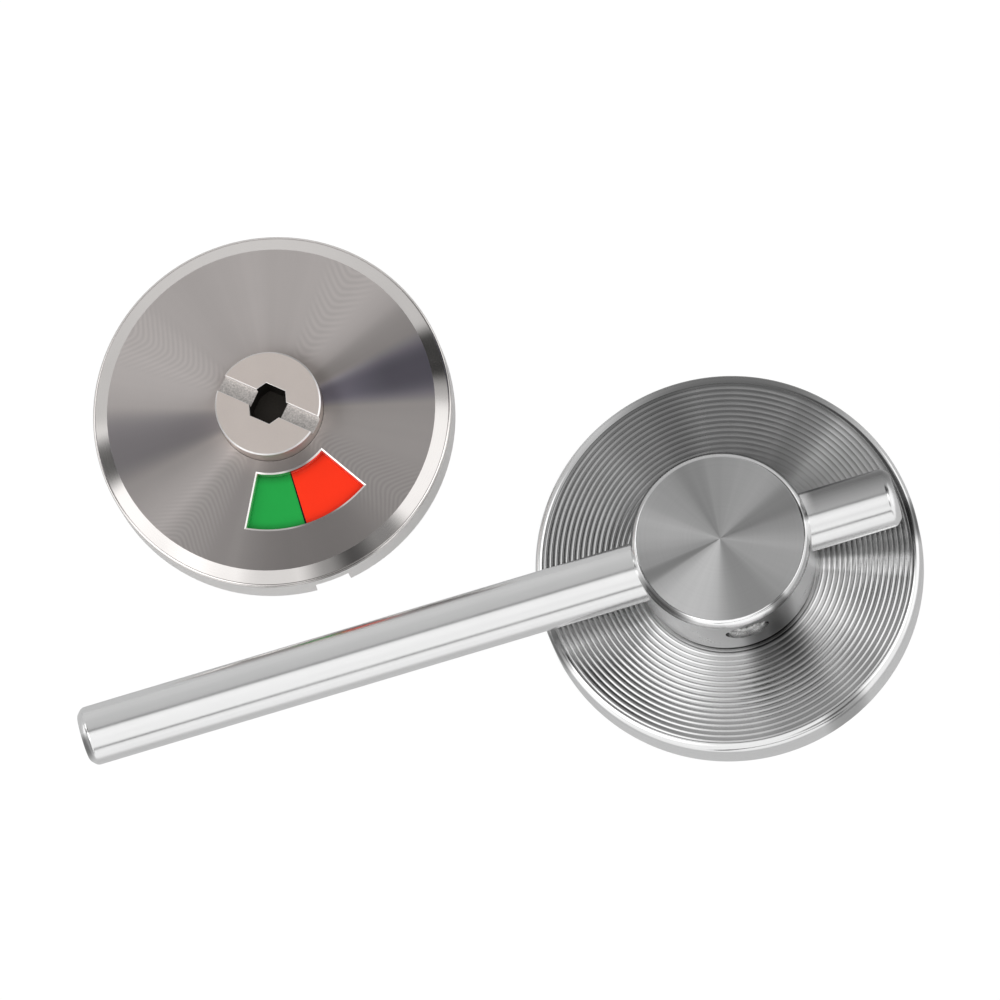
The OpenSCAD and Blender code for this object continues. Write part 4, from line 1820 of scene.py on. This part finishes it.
@dataclass
class IndicatorDisc:
    """Disc on the release turn and the two colour plates on it."""

    axis: Axis
    slot_dir: float = ReleaseTurn.slot_dir
    drive: float = 6.53
    drive_flat: float = 5.83
    edge: float = 0.1
    colour_in: float = 8.53
    colour_out: float = 17.7
    colour_span: float = 84.0
    colour_edge: float = 0.04
    half_line: float = 0.436
    steps: int = 192
    hole_steps: int = 128
    colour_steps: int = 84

    def build(self) -> None:
        """Build and dress the disc and both plates."""
        size = Extent.of("indicator_disc")
        hole = rod(self.drive, size.bottom - OVER, size.top + OVER, self.hole_steps)
        for side in (-1, 1):
            bmesh.ops.bisect_plane(
                hole, geom=[*hole.verts, *hole.edges, *hole.faces], dist=WELD,
                plane_co=(0, side * self.drive_flat * MM, 0), plane_no=(0, side, 0), clear_outer=True)
        moved(close_up(hole), Axis(heading=self.slot_dir).matrix())
        mesh = ease(rod(size.radius, size.bottom, size.top, self.steps), self.edge)
        mesh = moved(combine(mesh, Join.CUT, hole), self.axis.matrix())
        settle(mesh, "indicator_disc", [DISC_PAINT.material(self.axis)])
        self._plate("green_sector", COLOUR_SEAM - self.colour_span, GREEN_ENAMEL)
        self._plate("red_sector", COLOUR_SEAM + self.half_line, RED_ENAMEL)

    def _plate(self, node: str, start: float, enamel: Enamel) -> None:
        """Build and dress one colour plate.

        Args:
            node: The CAD node.
            start: Angle of its first edge.
            enamel: Its finish.
        """
        sweep = self.colour_span - self.half_line
        mesh = ring(self.colour_in, self.colour_out, Extent.of(node), self.colour_steps, start, sweep)
        moved(ease(mesh, self.colour_edge), self.axis.matrix())
        settle(mesh, node, [enamel.material(self.axis)])


def pointing(azimuth: float, elevation: float = 0.0) -> Vector:
    """Unit vector in a direction, given in degrees."""
    a, e = math.radians(azimuth), math.radians(elevation)
    return Vector((math.cos(a) * math.cos(e), math.sin(a) * math.cos(e), math.sin(e)))


@dataclass(frozen=True)
class Slit:
    """A dark upright gap in the studio, by how far ahead it lies."""

    place: float
    half: float
    light: float
    core: float = 0.5


@dataclass(frozen=True)
class Panel:
    """A soft box or a dark card of the studio, seen from the object."""

    azimuth: float
    elevation: float
    radius: float
    soft: float
    light: float


@dataclass
class Studio:
    """Camera of the photograph, pale floor and the soft light round the object."""

    tilt: float = 14.5
    swing: float = 22.7
    roll: float = 0.3
    lens: float = 300.0
    sensor: float = 36.0
    image: float = 1000.0
    face_px: Point = (727.7, 562.0)
    px_per_mm: float = 7.456
    floor_share: float = 0.85
    floor_glow: float = 1.1
    floor_front: Point = (0.1, 0.2)
    floor_size: float = 6.0
    floor_gap: float = 0.5
    paper: tuple[float, ...] = (0.68, 0.68, 0.68, 1.0)
    clip: Point = (0.01, 100.0)
    front_dir: float = -73.9
    front: float = 1.08
    back: float = 0.62
    rear: float = 0.7
    rear_span: Point = (0.6, 0.98)
    edge: float = -0.03
    edge_soft: float = 0.11
    slits: tuple[Slit, ...] = (Slit(0.92, 0.03, 0.1), Slit(-0.1, 0.08, 0.2))

    def panels(self) -> list[Panel]:
        """The dark cards and soft boxes.

        Returns:
            The panels, each covering those before it.
        """
        return [
            Panel(18, 8, 26, 8, 1.25),
            Panel(196, 8, 26, 8, 1.25),
            Panel(36, 31, 6, 5, 0.05),
            Panel(178, 33, 5, 5, 0.1),
            Panel(48, 58, 15, 8, 0.06),
            Panel(176, 58, 15, 8, 0.06),
            Panel(158, 44, 9, 7, 1.6),
            Panel(215, 58, 12, 8, 2.2),
            Panel(0, 60, 8, 7, 2.0),
            Panel(-50, 48, 7, 8, 0.25),
        ]

    def build(self) -> None:
        """Set up camera, floor and light."""
        self._camera()
        self._floor()
        self._light()
        bpy.context.scene.view_settings.view_transform = "Standard"

    def _camera(self) -> None:
        """Place the camera so that the lever rose's face lies where the photograph shows it."""
        tilt, swing = math.radians(self.tilt), math.radians(self.swing)
        back = Vector((math.sin(tilt) * math.sin(swing), -math.sin(tilt) * math.cos(swing), math.cos(tilt)))
        level = Vector((0, 1, 0)).cross(back).normalized()
        right = Matrix.Rotation(math.radians(self.roll), 3, back) @ level
        up = back.cross(right)
        away = self.lens / self.sensor * self.image / self.px_per_mm
        aside, lift = ((p - self.image / 2) / self.px_per_mm for p in self.face_px)
        face = Vector((0, 0, Extent.of("lever_rose").top))
        data = bpy.data.cameras.new("camera")
        data.lens, data.sensor_width = self.lens, self.sensor
        data.clip_start, data.clip_end = self.clip
        camera = bpy.data.objects.new("camera", data)
        bpy.context.scene.collection.objects.link(camera)
        place = Matrix.Translation((face - right * aside + up * lift + back * away) * MM)
        camera.matrix_world = place @ Matrix((right, up, back)).transposed().to_4x4()
        bpy.context.scene.camera = camera

    def _floor(self) -> None:
        """Make the pale floor under the spindle's end, open to views from below."""
        mesh = bmesh.new()
        level = Matrix.Translation((0, 0, CAD_BOX[0].z - self.floor_gap * MM))
        bmesh.ops.create_grid(mesh, x_segments=1, y_segments=1, size=self.floor_size, matrix=level)
        floor = as_object(mesh, "floor")
        material, graph = start_material("floor_paper")
        seen = graph.node("ShaderNodeLightPath", None, None, "Is Camera Ray")
        mirrored = graph.node("ShaderNodeLightPath", None, None, "Is Glossy Ray")
        place = graph.node("ShaderNodeTexCoord", None, None, "Object")
        ahead = graph.dot(place, pointing(self.front_dir))
        bright = seen + mirrored * ahead.rise(*self.floor_front)
        paper = graph.node("ShaderNodeBsdfDiffuse", None, {"Color": self.paper})
        glow = graph.node("ShaderNodeEmission", None, {"Color": WHITE, "Strength": self.floor_glow})
        shown = graph.node("ShaderNodeMixShader", None, {0: bright * self.floor_share, 1: paper, 2: glow})
        below = graph.node("ShaderNodeNewGeometry", None, None, "Backfacing") * seen
        clear = graph.node("ShaderNodeBsdfTransparent")
        both = graph.node("ShaderNodeMixShader", None, {0: below, 1: shown, 2: clear})
        graph.node("ShaderNodeOutputMaterial", None, {"Surface": both})
        floor.data.materials.append(material)

    def _light(self) -> None:
        """Light the object from a soft studio: bright in front, grey behind, with cards and boxes."""
        world = bpy.data.worlds.new("studio")
        bpy.context.scene.world = world
        world.use_nodes = True
        graph = Graph(world.node_tree)
        way = graph.node("ShaderNodeTexCoord", None, None, "Generated")
        ahead = graph.dot(way, pointing(self.front_dir))
        rear = self.back + (self.rear - self.back) * (0.0 - ahead).rise(*self.rear_span)
        step = ahead.rise(self.edge - self.edge_soft, self.edge + self.edge_soft)
        light = rear + (self.front - rear) * step
        for slit in self.slits:
            outside = (abs(ahead - slit.place) / slit.half).rise(slit.core, 1.0)
            light = light.towards(slit.light, 1.0 - outside)
        for panel in self.panels():
            rim, core = (math.cos(math.radians(r)) for r in (panel.radius + panel.soft, panel.radius))
            inside = graph.dot(way, pointing(panel.azimuth, panel.elevation)).rise(rim, core)
            light = light.towards(panel.light, inside)
        seen = graph.node("ShaderNodeLightPath", None, None, "Is Camera Ray")
        shown = graph.node("ShaderNodeBackground", None, {"Color": light, "Strength": 1.0})
        plain = graph.node("ShaderNodeBackground", None, {"Color": WHITE, "Strength": 1.0})
        both = graph.node("ShaderNodeMixShader", None, {0: seen, 1: shown, 2: plain})
        graph.node("ShaderNodeOutputWorld", None, {"Surface": both})


def main() -> None:
    """Build the studio and every piece, in order."""
    logging.basicConfig(level=logging.INFO, format="%(message)s")
    Studio().build()
    indicator = Extent.of("indicator_rose").axis()
    fixings = Fixings(indicator)
    LeverRose().build()
    LeverHub().build()
    ThrustWasher().build()
    Spindle().build()
    Bearing("lever", LeverHub.neck, LEVER_AXIS).build()
    plate = BasePlate("lever", LEVER_AXIS, LeverHub.neck)
    plate.build(fixings.bolt_holes(Extent.of("lever_base_plate").top))
    IndicatorRose(indicator).build()
    ReleaseTurn(indicator).build()
    IndicatorDisc(indicator).build()
    Bearing("indicator", ReleaseTurn.journal, indicator).build()
    plate = BasePlate("indicator", indicator, ReleaseTurn.journal, IndicatorRose.window_dir)
    plate.build(fixings.pillar_holes(Extent.of("indicator_base_plate").top))
    fixings.build()


if __name__ == "__main__":
    main()
